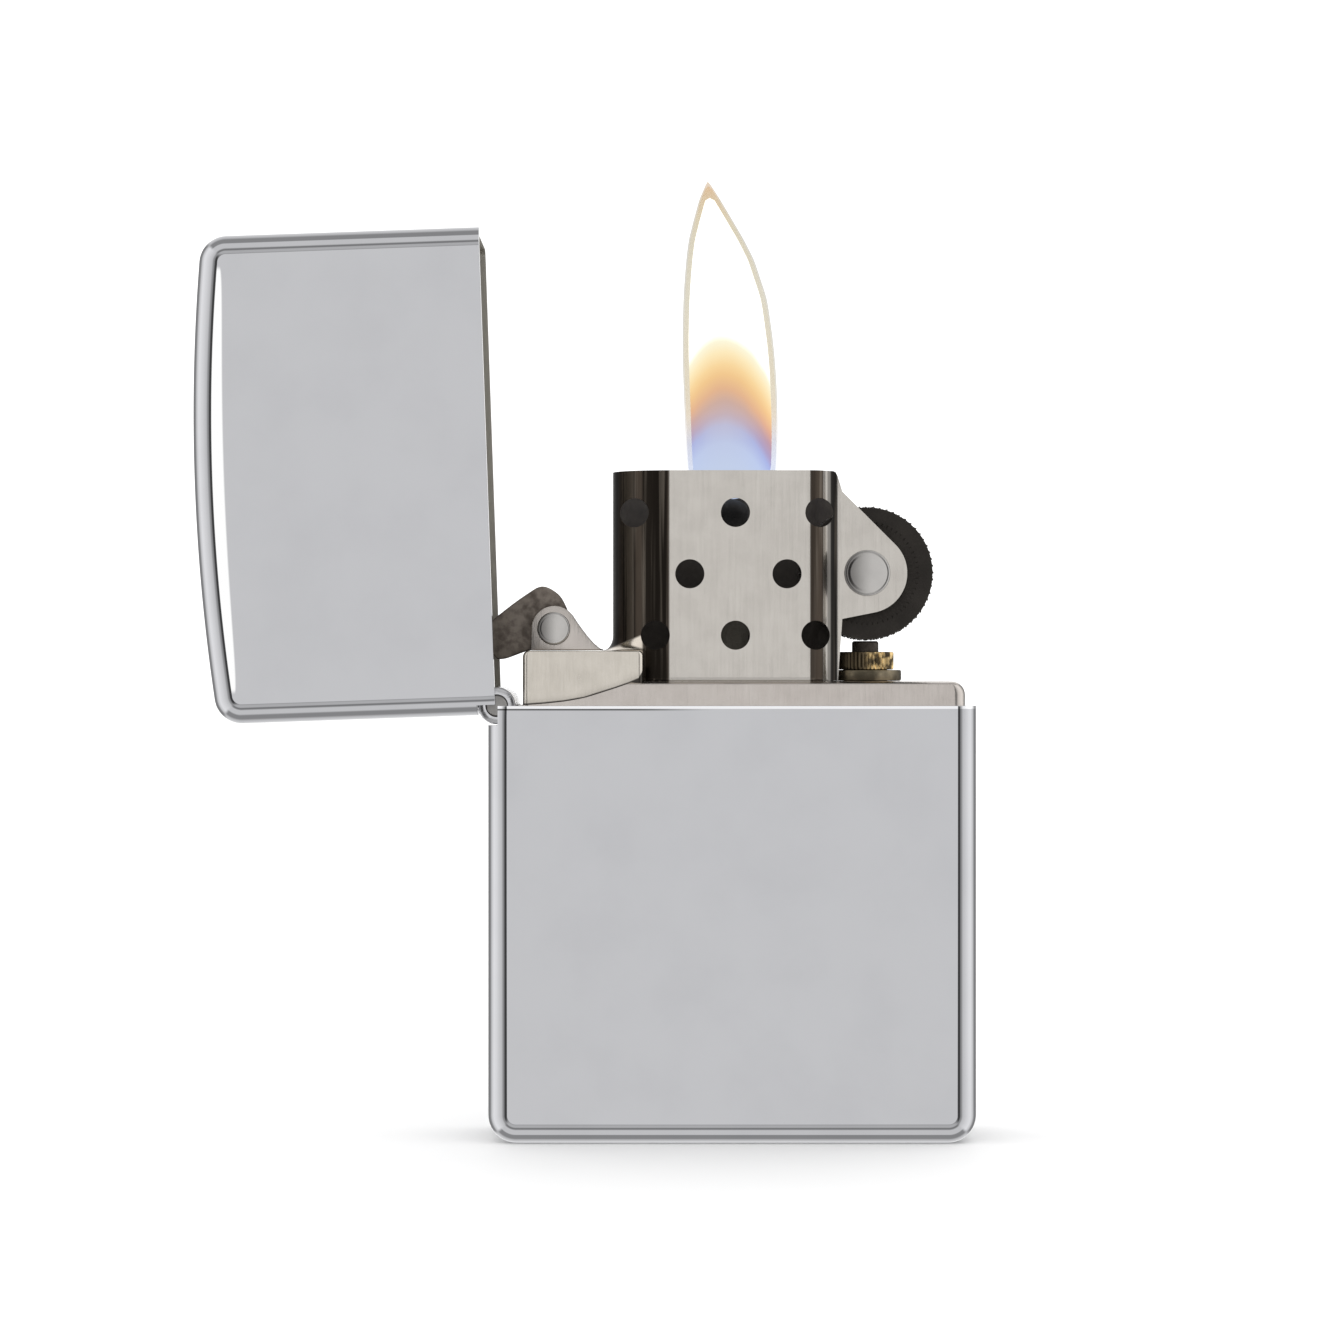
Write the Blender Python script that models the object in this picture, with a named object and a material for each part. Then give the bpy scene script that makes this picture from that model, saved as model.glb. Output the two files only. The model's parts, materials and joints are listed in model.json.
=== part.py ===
"""Windproof flip-top petrol lighter, open, at its real size.

A drawn case and lid turn on a five-knuckle hinge. Inside the case sits a lift-out insert: a tank
with its deck, a perforated chimney, the cam that snaps the lid, the spark wheel with its sprung
flint, a wick, the packing and a felt pad.

Lengths are in metres. The origin is the middle of the flat underside of the case. +X points from
the hinge to the free side, -Y is the front and +Z is up.
"""

import math

import bmesh
import bpy
from mathutils.geometry import interpolate_bezier

MM = 0.001

# Case and lid
CASE_WIDTH = 38.1 * MM
CASE_DEPTH = 12.7 * MM
CASE_HEIGHT = 34.1 * MM  # underside to rim
LID_HEIGHT = 23.0 * MM  # rim to the top of its crown
CROWN_RISE = 1.2 * MM
CASE_WALL = 0.7 * MM
CASE_EDGE_RADIUS = 1.65 * MM  # upright edges, and the edges round the base and the crown
CASE_CORNER_RADIUS = 2.2 * MM  # corners of the front outline
RIM_GAP = 0.1 * MM
LID_OPEN_ANGLE = math.radians(92)

# Hinge
BARREL_RADIUS = 1.44 * MM
HINGE_PIN_RADIUS = 0.86 * MM
HINGE_LEAF = 0.5 * MM
HINGE_LEAF_LENGTH = 6.6 * MM
KNUCKLES = 5

# Insert: sheet, tank and deck
INSERT_SHEET = 0.35 * MM
DECK_ABOVE_RIM = 1.9 * MM
TANK_BOTTOM = 1.65 * MM
TANK_EDGE_RADIUS = 0.9 * MM
TANK_CORNER_RADIUS = 1.06 * MM

# Shoulder and cam
SHOULDER_ABOVE_DECK = 2.4 * MM
SHOULDER_UNDER_CHIMNEY = 2.42 * MM
SHOULDER_SKIRT = 6.0 * MM  # how far its sides reach down inside the tank
CAM_PIVOT_FROM_END = 2.33 * MM
CAM_PIVOT_HEIGHT = 1.74 * MM  # over the shoulder
CAM_THICKNESS = 1.6 * MM
CAM_RIVET_RADIUS = 0.6 * MM
CAM_RIVET_HEAD = 1.3 * MM
BRACKET_SHEET = 0.5 * MM
BRACKET_EAR_RADIUS = 1.8 * MM
CAM_SPRING_SHEET = 0.3 * MM
CAM_SPRING_WIDTH = 3.0 * MM

# Chimney
CHIMNEY_TOP_ABOVE_DECK = 16.5 * MM
CHIMNEY_INSET = 1.15 * MM  # in from the front and back of the insert
CHIMNEY_SHEET = 0.45 * MM
CHIMNEY_FROM_HINGE_SIDE = 7.39 * MM
CHIMNEY_BEND_LENGTH = 2.2 * MM
CHIMNEY_HOLE_RADIUS = 1.14 * MM
# Share of its height: shares of its length from its left end, for the front holes, and for the
# back ones, which stand between them
CHIMNEY_HOLES = {
    0.2182: ((0.1898, 0.5441, 0.8994), (0.365, 0.722)),
    0.5091: ((0.3424, 0.7718), (0.185, 0.557, 0.915)),
    0.8: ((0.0966, 0.5441, 0.9169), (0.33, 0.74)),
}

# Spark wheel and flint feed
WHEEL_RADIUS = 5.3 * MM
WHEEL_WIDTH = 4.8 * MM
WHEEL_TEETH = 36
WHEEL_TOOTH_DEPTH = 0.35 * MM
WHEEL_MARGIN = 2.26 * MM  # wheel to the free side of the insert
WHEEL_RIVET_RADIUS = 1.2 * MM
WHEEL_RIVET_HEAD = 1.8 * MM
EAR_RADIUS = 3.15 * MM
FLINT_RADIUS = 1.05 * MM
FLINT_LENGTH = 5.0 * MM
FLINT_SHOWING = 0.85 * MM  # collar to wheel
TUBE_RADIUS = 1.75 * MM
TUBE_BORE = 1.25 * MM
FLANGE_RADIUS = 2.85 * MM
FLANGE_HEIGHT = 0.85 * MM
COLLAR_RADIUS = 2.25 * MM
COLLAR_HEIGHT = 1.4 * MM
PUSHER_HEIGHT = 1.5 * MM
SPRING_COIL_RADIUS = 0.85 * MM
SPRING_WIRE = 0.36 * MM
SPRING_TURNS = 20
SCREW_HEAD_RADIUS = 3.0 * MM
SCREW_HEAD_HEIGHT = 1.0 * MM
SCREW_SHANK_LENGTH = 4.2 * MM
SCREW_SLOT = 0.6 * MM

# Wick, packing and felt
WICK_RADIUS = 1.5 * MM
WICK_ABOVE_DECK = 14.5 * MM
WICK_ALONG_CHIMNEY = 0.5288  # share of the chimney's length
WICK_TURN = 0.134  # radius of its turns, as a share of the room in the tank
LOWEST_PASS = 0.18  # height of its lowest pass, as a share of the same
FELT_THICKNESS = 2.4 * MM
FELT_ABOVE_EDGE = 0.4 * MM
FILL_HOLE_RADIUS = 1.0 * MM
PACKING_ROUNDING = 0.36  # radius of a wad's edges, as a share of its thinnest side

# Clearances
SEAT_GAP = 0.03 * MM  # between fixed pieces that touch
RUNNING_GAP = 0.03 * MM  # radial, between a pin and its bore
SIDE_GAP = 0.12 * MM  # beside pieces that turn
SLIDE_GAP = 0.15 * MM  # between the insert and the case
SOFT_GAP = 0.6 * MM  # round the wick and the packing

# Smoothness
CORNER_STEPS = 5
EDGE_STEPS = 4
ROUND_STEPS = 32

# Places that follow from the sizes
HINGE_X = CASE_WALL - CASE_WIDTH / 2 + 0.01 * MM
HINGE_Z = CASE_HEIGHT
BARREL_LENGTH = CASE_DEPTH - 2 * CASE_WALL - 0.1 * MM
KNUCKLE_PITCH = BARREL_LENGTH / KNUCKLES
INNER_DEPTH = CASE_DEPTH - 2 * CASE_WALL
INSERT_DEPTH = INNER_DEPTH - 2 * SLIDE_GAP
INSERT_LEFT = HINGE_X + BARREL_RADIUS + SLIDE_GAP
INSERT_RIGHT = CASE_WIDTH / 2 - CASE_WALL - SLIDE_GAP
DECK_Z = CASE_HEIGHT + DECK_ABOVE_RIM
SHOULDER_TOP = DECK_Z + SHOULDER_ABOVE_DECK
CHIMNEY_LEFT = INSERT_LEFT + CHIMNEY_FROM_HINGE_SIDE
CHIMNEY_DEPTH = INSERT_DEPTH - 2 * CHIMNEY_INSET
SHOULDER_LEFT = INSERT_LEFT + INSERT_SHEET + 0.06 * MM
SHOULDER_RIGHT = CHIMNEY_LEFT + SHOULDER_UNDER_CHIMNEY
SHOULDER_DEPTH = INSERT_DEPTH - 2 * INSERT_SHEET - 0.1 * MM
CAM_X = SHOULDER_LEFT + CAM_PIVOT_FROM_END
CAM_Z = SHOULDER_TOP + CAM_PIVOT_HEIGHT
FLINT_TOP = DECK_Z + SEAT_GAP + FLANGE_HEIGHT + SEAT_GAP + COLLAR_HEIGHT + FLINT_SHOWING
WHEEL_X = INSERT_RIGHT - WHEEL_MARGIN - WHEEL_RADIUS
WHEEL_Z = FLINT_TOP + SEAT_GAP + WHEEL_RADIUS
EAR_FACE = WHEEL_WIDTH / 2 + SIDE_GAP
CHIMNEY_TOP = DECK_Z + CHIMNEY_TOP_ABOVE_DECK
CHIMNEY_RIGHT = WHEEL_X - WHEEL_RADIUS + 3.0 * MM
CHIMNEY_LENGTH = CHIMNEY_RIGHT - CHIMNEY_LEFT
WICK_X = CHIMNEY_LEFT + WICK_ALONG_CHIMNEY * CHIMNEY_LENGTH
TUBE_BOTTOM = TANK_BOTTOM + SCREW_HEAD_HEIGHT + 0.15 * MM


# ---------------------------------------------------------------- helpers


def clear_scene():
    for thing in list(bpy.data.objects):
        bpy.data.objects.remove(thing, do_unlink=True)


def finish(name, colour, metallic, roughness):
    """A plain finish: its colour, how metallic and how rough it is."""
    material = bpy.data.materials.new(name)
    material.use_nodes = True
    shader = material.node_tree.nodes["Principled BSDF"]
    shader.inputs["Base Color"].default_value = (*colour, 1)
    shader.inputs["Metallic"].default_value = metallic
    shader.inputs["Roughness"].default_value = roughness
    material.diffuse_color = (*colour, 1)
    return material


def add_object(name, data, parent=None):
    piece = bpy.data.objects.new(name, data)
    bpy.context.collection.objects.link(piece)
    piece.parent = parent
    return piece


def add_axis(name, location, parent=None):
    """An empty on a joint's axis, which carries the pieces that turn about it."""
    axis = add_object(name, None, parent)
    axis.location = location
    return axis


def add_piece(name, bm, material=None, parent=None, smooth=True):
    """Make a named object of a bmesh, smooth over its gentle edges."""
    bmesh.ops.recalc_face_normals(bm, faces=bm.faces)
    mesh = bpy.data.meshes.new(name)
    bm.to_mesh(mesh)
    bm.free()
    if smooth:
        mesh.shade_smooth()
        mesh.set_sharp_from_angle(angle=math.radians(35))
    if material:
        mesh.materials.append(material)
    return add_object(name, mesh, parent)


def boolean(piece, operation, bm):
    """Join a shape to a piece, or cut it away, with a hidden helper object."""
    helper = add_piece(f"{piece.name}_{operation.lower()}_{len(piece.modifiers)}", bm, parent=piece.parent)
    helper.location = piece.location
    helper.hide_render = True
    helper.display_type = "WIRE"
    modifier = piece.modifiers.new(helper.name, "BOOLEAN")
    modifier.operation = operation
    modifier.object = helper
    modifier.solver = "EXACT"


def arc(centre_x, centre_z, radius, start, end, steps=CORNER_STEPS):
    """Points on a circle from one angle to another, in degrees, both ends included."""
    angles = [math.radians(start + (end - start) * step / steps) for step in range(steps + 1)]
    return [(centre_x + radius * math.cos(a), centre_z + radius * math.sin(a)) for a in angles]


def swept(face_points, shift):
    """A flat closed outline, swept along a vector into a solid."""
    bm = bmesh.new()
    face = bm.faces.new([bm.verts.new(point) for point in face_points])
    made = bmesh.ops.extrude_face_region(bm, geom=[face])["geom"]
    ends = [item for item in made if isinstance(item, bmesh.types.BMVert)]
    bmesh.ops.translate(bm, verts=ends, vec=shift)
    return bm


def front_prism(outline, y_low, y_high):
    """A closed outline of (x, z) points, swept from the front to the back."""
    return swept([(x, y_low, z) for x, z in outline], (0, y_high - y_low, 0))


def box(x_low, x_high, y_low, y_high, z_low, z_high):
    outline = [(x_low, z_low), (x_high, z_low), (x_high, z_high), (x_low, z_high)]
    return front_prism(outline, y_low, y_high)


def drawn_cup(outline, depth, edge_radius):
    """The outside of a cup drawn from sheet, open at the side that closes its front outline.

    The outline is swept to its depth, its edges are rounded, and the open side's face goes.
    """
    bm = front_prism(outline, -depth / 2, depth / 2)
    bmesh.ops.recalc_face_normals(bm, faces=bm.faces)
    open_z = outline[0][1]

    def on_rim(item):
        return all(abs(corner.co.z - open_z) < 1e-7 for corner in item.verts)

    def across(edge):
        return abs(edge.verts[0].co.y - edge.verts[1].co.y) > 1e-7

    edges = [edge for edge in bm.edges if not across(edge) and not on_rim(edge)]
    bmesh.ops.bevel(
        bm, geom=edges, offset=edge_radius, offset_type="OFFSET", segments=EDGE_STEPS,
        profile=0.5, affect="EDGES", clamp_overlap=False,
    )
    bmesh.ops.delete(bm, geom=[face for face in bm.faces if on_rim(face)], context="FACES_ONLY")
    return bm


def add_sheet_thickness(piece, thickness):
    """Give a surface the thickness of its sheet, inwards from its outer face."""
    modifier = piece.modifiers.new("sheet", "SOLIDIFY")
    modifier.thickness = thickness
    modifier.offset = -1
    modifier.use_even_offset = True


def turned(profile, centre, axis="Z", steps=ROUND_STEPS):
    """A solid of revolution. The profile runs along (radius, height) points, closed if its radii
    never reach zero. axis is the direction of its heights."""
    bm = bmesh.new()
    verts = [bm.verts.new((radius, 0, height)) for radius, height in profile]
    hollow = min(radius for radius, _ in profile) > 0
    pairs = list(zip(verts, verts[1:] + verts[:1] if hollow else verts[1:]))
    edges = [bm.edges.new(pair) for pair in pairs]
    bmesh.ops.spin(
        bm, geom=verts + edges, cent=(0, 0, 0), axis=(0, 0, 1), angle=2 * math.pi,
        steps=steps, use_merge=True, use_duplicate=False,
    )
    bmesh.ops.remove_doubles(bm, verts=bm.verts, dist=1e-6)
    if axis == "Y":
        for vert in bm.verts:
            x, y, z = vert.co
            vert.co = (x, z, -y)
    bmesh.ops.translate(bm, verts=bm.verts, vec=centre)
    return bm


def ring(inner, outer, low, high, centre, axis="Z", steps=ROUND_STEPS):
    profile = [(outer, low), (outer, high), (inner, high), (inner, low)]
    return turned(profile, centre, axis, steps)


def rod(radius, low, high, centre, axis="Z", steps=ROUND_STEPS):
    return turned([(0, high), (radius, high), (radius, low), (0, low)], centre, axis, steps)


def soft_block(x_low, x_high, y_half, z_low, z_high):
    """A block of packing with rounded edges."""
    thinnest = min(x_high - x_low, 2 * y_half, z_high - z_low)
    bm = box(x_low, x_high, -y_half, y_half, z_low, z_high)
    bmesh.ops.bevel(
        bm, geom=list(bm.edges), offset=PACKING_ROUNDING * thinnest, offset_type="OFFSET",
        segments=3, profile=0.5, affect="EDGES", clamp_overlap=False,
    )
    return bm


def add_wire(name, points, radius, material, sides=8, parent=None):
    """A round wire or wick along its points, with closed ends."""
    curve = bpy.data.curves.new(name, "CURVE")
    curve.dimensions = "3D"
    curve.bevel_depth = radius
    curve.bevel_resolution = sides // 2 - 2
    curve.use_fill_caps = True
    spline = curve.splines.new("POLY")
    spline.points.add(len(points) - 1)
    for place, point in zip(spline.points, points):
        place.co = (*point, 1)
    curve.materials.append(material)
    return add_object(name, curve, parent)


def smooth_loop(points, steps):
    """A closed Catmull-Rom curve through (x, z) points."""
    count = len(points)
    loop = []
    for index in range(count):
        before, start, end, after = (points[(index + k) % count] for k in (-1, 0, 1, 2))
        for step in range(steps):
            t = step / steps
            weights = (
                (-t + 2 * t**2 - t**3) / 2,
                (2 - 5 * t**2 + 3 * t**3) / 2,
                (t + 4 * t**2 - 3 * t**3) / 2,
                (t**3 - t**2) / 2,
            )
            corners = (before, start, end, after)
            loop.append(tuple(sum(w * c[k] for w, c in zip(weights, corners)) for k in (0, 1)))
    return loop


# ---------------------------------------------------------------- case, lid and hinge


def case_outline():
    """Front outline of the case, from rim to rim round its base."""
    half, radius = CASE_WIDTH / 2, CASE_CORNER_RADIUS
    left = arc(radius - half, radius, radius, 180, 270)
    right = arc(half - radius, radius, radius, 270, 360)
    return [(-half, CASE_HEIGHT), *left, *right, (half, CASE_HEIGHT)]


def lid_outline():
    """Front outline of the closed lid, from rim to rim over its crown.

    The crown is an arc. Each corner arc touches the side and the crown.
    """
    half, radius = CASE_WIDTH / 2, CASE_CORNER_RADIUS
    crown_radius = (half**2 + CROWN_RISE**2) / (2 * CROWN_RISE)
    crown_z = CASE_HEIGHT + LID_HEIGHT - crown_radius
    corner_x = half - radius
    corner_z = crown_z + math.sqrt((crown_radius - radius) ** 2 - corner_x**2)
    meet = math.degrees(math.atan2(corner_z - crown_z, corner_x))
    low = CASE_HEIGHT + RIM_GAP
    right = arc(corner_x, corner_z, radius, 0, meet)
    crown = arc(0, crown_z, crown_radius, meet, 180 - meet, 8)
    left = arc(-corner_x, corner_z, radius, 180 - meet, 180)
    return [(half, low), *right, *crown[1:-1], *left, (-half, low)]


def hinge_notches(towards):
    """Two cutters that clear the barrel: one through the side wall, one inside the corners."""
    low, high = sorted((HINGE_Z + towards * (BARREL_RADIUS + 0.08 * MM), HINGE_Z - towards * MM))
    through = box(-CASE_WIDTH, HINGE_X + 0.07 * MM, -CASE_DEPTH, CASE_DEPTH, low, high)
    side = INNER_DEPTH / 2
    inside = box(-CASE_WIDTH, HINGE_X + BARREL_RADIUS + 0.1 * MM, -side, side, low, high)
    return through, inside


def build_case(chrome, pin_steel):
    case = add_piece("case_shell", drawn_cup(case_outline(), CASE_DEPTH, CASE_EDGE_RADIUS), chrome)
    add_sheet_thickness(case, CASE_WALL)
    for notch in hinge_notches(-1):
        boolean(case, "DIFFERENCE", notch)
    hinge_plate("case_hinge_plate", -1, range(0, KNUCKLES, 2), chrome, None)
    half = BARREL_LENGTH / 2
    pin = rod(HINGE_PIN_RADIUS, -half, half, (HINGE_X, 0, HINGE_Z), "Y")
    add_piece("hinge_pin", pin, pin_steel)


def hinge_plate(name, towards, knuckles, material, parent):
    """A leaf with its knuckles, below the axis (towards = -1) or above it (+1)."""
    inner = HINGE_X + SEAT_GAP
    outer = inner + HINGE_LEAF
    half = BARREL_LENGTH / 2 - CASE_EDGE_RADIUS + CASE_WALL
    near = HINGE_Z + towards * (BARREL_RADIUS + 0.1 * MM)
    far = near + towards * HINGE_LEAF_LENGTH
    low, high = sorted((near, far))
    plate = add_piece(name, box(inner, outer, -half, half, low, high), material, parent)
    web = sorted((HINGE_Z + towards * 0.7 * BARREL_RADIUS, near + towards * 0.6 * MM))
    for knuckle in knuckles:
        y_low = -BARREL_LENGTH / 2 + knuckle * KNUCKLE_PITCH + SEAT_GAP
        y_high = y_low + KNUCKLE_PITCH - 2 * SEAT_GAP
        barrel = arc(HINGE_X, HINGE_Z, BARREL_RADIUS, 0, 360, ROUND_STEPS)[:-1]
        boolean(plate, "UNION", front_prism(barrel, y_low, y_high))
        boolean(plate, "UNION", box(inner, outer, max(y_low, -half), min(y_high, half), *web))
    bore = rod(HINGE_PIN_RADIUS + RUNNING_GAP, -CASE_DEPTH, CASE_DEPTH, (HINGE_X, 0, HINGE_Z), "Y")
    boolean(plate, "DIFFERENCE", bore)
    return plate


def build_lid(chrome):
    """The lid is drawn closed and hung on an axis that holds it open."""
    axis = add_axis("lid_axis", (HINGE_X, 0, HINGE_Z))
    axis.rotation_euler.y = -LID_OPEN_ANGLE
    lid = add_piece("lid_shell", drawn_cup(lid_outline(), CASE_DEPTH, CASE_EDGE_RADIUS), chrome, axis)
    add_sheet_thickness(lid, CASE_WALL)
    plate = hinge_plate("lid_hinge_plate", 1, range(1, KNUCKLES, 2), chrome, axis)
    for piece in (lid, plate):
        piece.location = (-HINGE_X, 0, -HINGE_Z)
        for modifier in piece.modifiers:
            if modifier.type == "BOOLEAN":
                modifier.object.location = piece.location
    for notch in hinge_notches(1):
        boolean(lid, "DIFFERENCE", notch)


# ---------------------------------------------------------------- insert


def build_tank(steel):
    """The outer sheet of the insert, open below, with its deck and the curved edge at the cam."""
    left, right, radius = INSERT_LEFT, INSERT_RIGHT, TANK_CORNER_RADIUS
    top_right = arc(right - radius, DECK_Z - radius, radius, 0, 90)
    top_left = arc(left + radius, DECK_Z - radius, radius, 90, 180)
    outline = [(right, TANK_BOTTOM), *top_right, *top_left, (left, TANK_BOTTOM)]
    tank = add_piece("tank_shell", drawn_cup(outline, INSERT_DEPTH, TANK_EDGE_RADIUS), steel)
    add_sheet_thickness(tank, INSERT_SHEET)
    edge_right = SHOULDER_RIGHT + 0.05 * MM
    curve = interpolate_bezier(
        (edge_right, DECK_Z + 0.3 * MM, 0), (edge_right, DECK_Z - 0.1 * MM, 0),
        (edge_right - 3.55 * MM, DECK_Z - 1.0 * MM, 0), (left + 1.6 * MM, CASE_HEIGHT, 0), 12,
    )
    sweep = [(point.x, point.y) for point in curve]
    around = [(left - MM, CASE_HEIGHT - 0.35 * MM), (left - MM, DECK_Z + MM), (edge_right, DECK_Z + MM)]
    boolean(tank, "DIFFERENCE", front_prism([*sweep, *around], -INSERT_DEPTH, INSERT_DEPTH))
    half = SHOULDER_DEPTH / 2 + SEAT_GAP
    room = box(SHOULDER_LEFT - SEAT_GAP, edge_right, -half, half, DECK_Z - SHOULDER_SKIRT, DECK_Z + MM)
    boolean(tank, "DIFFERENCE", room)
    low, high = -2 * INSERT_SHEET, INSERT_SHEET
    boolean(tank, "DIFFERENCE", rod(WICK_RADIUS + 0.2 * MM, low, high, (WICK_X, 0, DECK_Z)))
    boolean(tank, "DIFFERENCE", rod(TUBE_RADIUS + SEAT_GAP, low, high, (WHEEL_X, 0, DECK_Z)))


def build_shoulder(steel):
    """The inner piece that stands above the deck and carries the cam, slotted for its toe."""
    left, right, top = SHOULDER_LEFT, SHOULDER_RIGHT, SHOULDER_TOP
    bottom = DECK_Z - SHOULDER_SKIRT
    radius = 0.9 * MM
    top_right = arc(right - 0.4 * MM, top - 0.4 * MM, 0.4 * MM, 0, 90, 3)
    top_left = arc(left + radius, top - radius, radius, 90, 180)
    outline = [(right, bottom), *top_right, *top_left, (left, bottom)]
    shoulder = add_piece("cam_shoulder", drawn_cup(outline, SHOULDER_DEPTH, 0.38 * MM), steel)
    add_sheet_thickness(shoulder, INSERT_SHEET)
    half = CAM_THICKNESS / 2 + 2 * SIDE_GAP
    slot = box(left - MM, CAM_X + 2.4 * MM, -half, half, DECK_Z - 0.4 * MM, top + MM)
    boolean(shoulder, "DIFFERENCE", slot)
    rivet_x = cam_spring_rivet_x()
    hole = rod(0.4 * MM + SEAT_GAP, -MM, MM, (rivet_x, 0, top), steps=16)
    boolean(shoulder, "DIFFERENCE", hole)


def cam_spring_rivet_x():
    return CHIMNEY_LEFT + CHIMNEY_SHEET + 0.9 * MM


def build_bracket(steel):
    """Two ears joined by a foot beside the cam."""
    foot = SHOULDER_TOP + SEAT_GAP
    right = CAM_X + 3.4 * MM
    crest = arc(CAM_X, CAM_Z, BRACKET_EAR_RADIUS, 180, 40, 12)
    ear = [(CAM_X - BRACKET_EAR_RADIUS, foot), *crest, (right, foot + 0.45 * MM), (right, foot)]
    inner = CAM_THICKNESS / 2 + SIDE_GAP
    outer = inner + BRACKET_SHEET
    bracket = add_piece("cam_bracket", front_prism(ear, -outer, outer), steel)
    gap_right = right - 1.6 * MM
    boolean(bracket, "DIFFERENCE", box(CAM_X - 3 * MM, gap_right, -inner, inner, foot - MM, foot + 5 * MM))
    above = box(gap_right - MM, right + MM, -inner, inner, foot + 0.4 * MM, foot + 5 * MM)
    boolean(bracket, "DIFFERENCE", above)
    bore = rod(CAM_RIVET_RADIUS + SEAT_GAP, -2 * outer, 2 * outer, (CAM_X, 0, CAM_Z), "Y", 20)
    boolean(bracket, "DIFFERENCE", bore)
    neck = outer + SEAT_GAP
    domed = [(0, neck + 0.5 * MM), (0.8 * CAM_RIVET_HEAD, neck + 0.42 * MM),
             (CAM_RIVET_HEAD, neck + 0.15 * MM), (CAM_RIVET_HEAD, neck), (CAM_RIVET_RADIUS, neck)]
    profile = domed + [(radius, -height) for radius, height in reversed(domed)]
    add_piece("cam_rivet", turned(profile, (CAM_X, 0, CAM_Z), "Y", 20), steel)


def build_cam(cam_steel):
    """The toggle: a toe towards the lid, a lobe above and a heel below its pivot."""
    outline = [
        (-4.04, -2.4), (-2.1, -1.75), (-0.4, -1.45), (0.9, -1.15), (1.45, 0.1), (1.0, 1.6), (0.3, 2.75),
        (-0.93, 3.34), (-2.2, 2.7), (-4.1, 1.3), (-5.05, 0.4), (-5.25, -0.8), (-4.8, -2.1),
    ]
    loop = smooth_loop([(x * MM, z * MM) for x, z in outline], 3)
    axis = add_axis("cam_axis", (CAM_X, 0, CAM_Z))
    half = CAM_THICKNESS / 2
    cam = add_piece("cam", front_prism(loop, -half, half), cam_steel, axis)
    bore = rod(CAM_RIVET_RADIUS + RUNNING_GAP, -2 * half, 2 * half, (0, 0, 0), "Y", 20)
    boolean(cam, "DIFFERENCE", bore)


def build_cam_spring(spring_steel):
    """A leaf under the shoulder, held by a rivet at its right end, its free end below the cam."""
    under = SHOULDER_TOP - INSERT_SHEET - SEAT_GAP - CAM_SPRING_SHEET / 2
    rivet_x = cam_spring_rivet_x()
    path = interpolate_bezier(
        (rivet_x - 0.9 * MM, under, 0), (rivet_x - 3.2 * MM, under, 0),
        (CAM_X + 2.6 * MM, DECK_Z - 0.35 * MM, 0), (CAM_X - 1.5 * MM, DECK_Z - 0.2 * MM, 0), 12,
    )
    middle = [(rivet_x + 0.6 * MM, under), *((point.x, point.y) for point in path)]
    half = CAM_SPRING_SHEET / 2
    upper = [(x, z + half) for x, z in middle]
    lower = [(x, z - half) for x, z in reversed(middle)]
    width = CAM_SPRING_WIDTH / 2
    spring = add_piece("cam_spring", front_prism(upper + lower, -width, width), spring_steel)
    hole = rod(0.4 * MM + SEAT_GAP, -MM, MM, (rivet_x, 0, under), steps=16)
    boolean(spring, "DIFFERENCE", hole)
    top = SHOULDER_TOP + SEAT_GAP
    bottom = under - half - SEAT_GAP
    profile = [(0, top + 0.4 * MM), (0.75 * MM, top + 0.3 * MM), (0.75 * MM, top), (0.4 * MM, top),
               (0.4 * MM, bottom), (0.75 * MM, bottom), (0.75 * MM, bottom - 0.35 * MM), (0, bottom - 0.35 * MM)]
    add_piece("cam_spring_rivet", turned(profile, (rivet_x, 0, 0), steps=16), spring_steel)


def chimney_path():
    """Plan of the chimney's outer face: ear, inward bend, side, half-round end, and back.

    Each bend is two equal arcs that turn the sheet in from the side to the ear.
    """
    half = CHIMNEY_DEPTH / 2
    ear = EAR_FACE + CHIMNEY_SHEET
    turn = 2 * math.degrees(math.atan2(half - ear, CHIMNEY_BEND_LENGTH))
    radius = CHIMNEY_BEND_LENGTH / (2 * math.sin(math.radians(turn)))
    start = CHIMNEY_RIGHT - CHIMNEY_BEND_LENGTH
    outer_bend = arc(start, half - radius, radius, 90, 90 - turn, 4)
    inner_bend = arc(CHIMNEY_RIGHT, ear + radius, radius, 270 - turn, 270, 4)
    side = [*outer_bend, *inner_bend[1:], (WHEEL_X + EAR_RADIUS + MM, ear)]
    end = arc(CHIMNEY_LEFT + half, 0, half, 90, 270, 20)
    return [*reversed(side), *end, *((x, -y) for x, y in side)]


def ear_cutter():
    """What lies outside the ears: they slope at 45 degrees onto an arc about the wheel's centre,
    and return along a line that falls slightly to the chimney."""
    far = WHEEL_X + EAR_RADIUS + 3 * MM
    nose = arc(WHEEL_X, WHEEL_Z, EAR_RADIUS, 45, -80, 16)
    start_x, start_z = nose[0]
    step = start_x - CHIMNEY_RIGHT
    root = (CHIMNEY_RIGHT, nose[-1][1] - 0.2 * (nose[-1][0] - CHIMNEY_RIGHT))
    top = max(CHIMNEY_TOP, start_z + step) + MM
    return [(CHIMNEY_RIGHT, top), (CHIMNEY_RIGHT, start_z + step), *nose, root,
            (CHIMNEY_RIGHT, DECK_Z - MM), (far, DECK_Z - MM), (far, top)]


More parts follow.
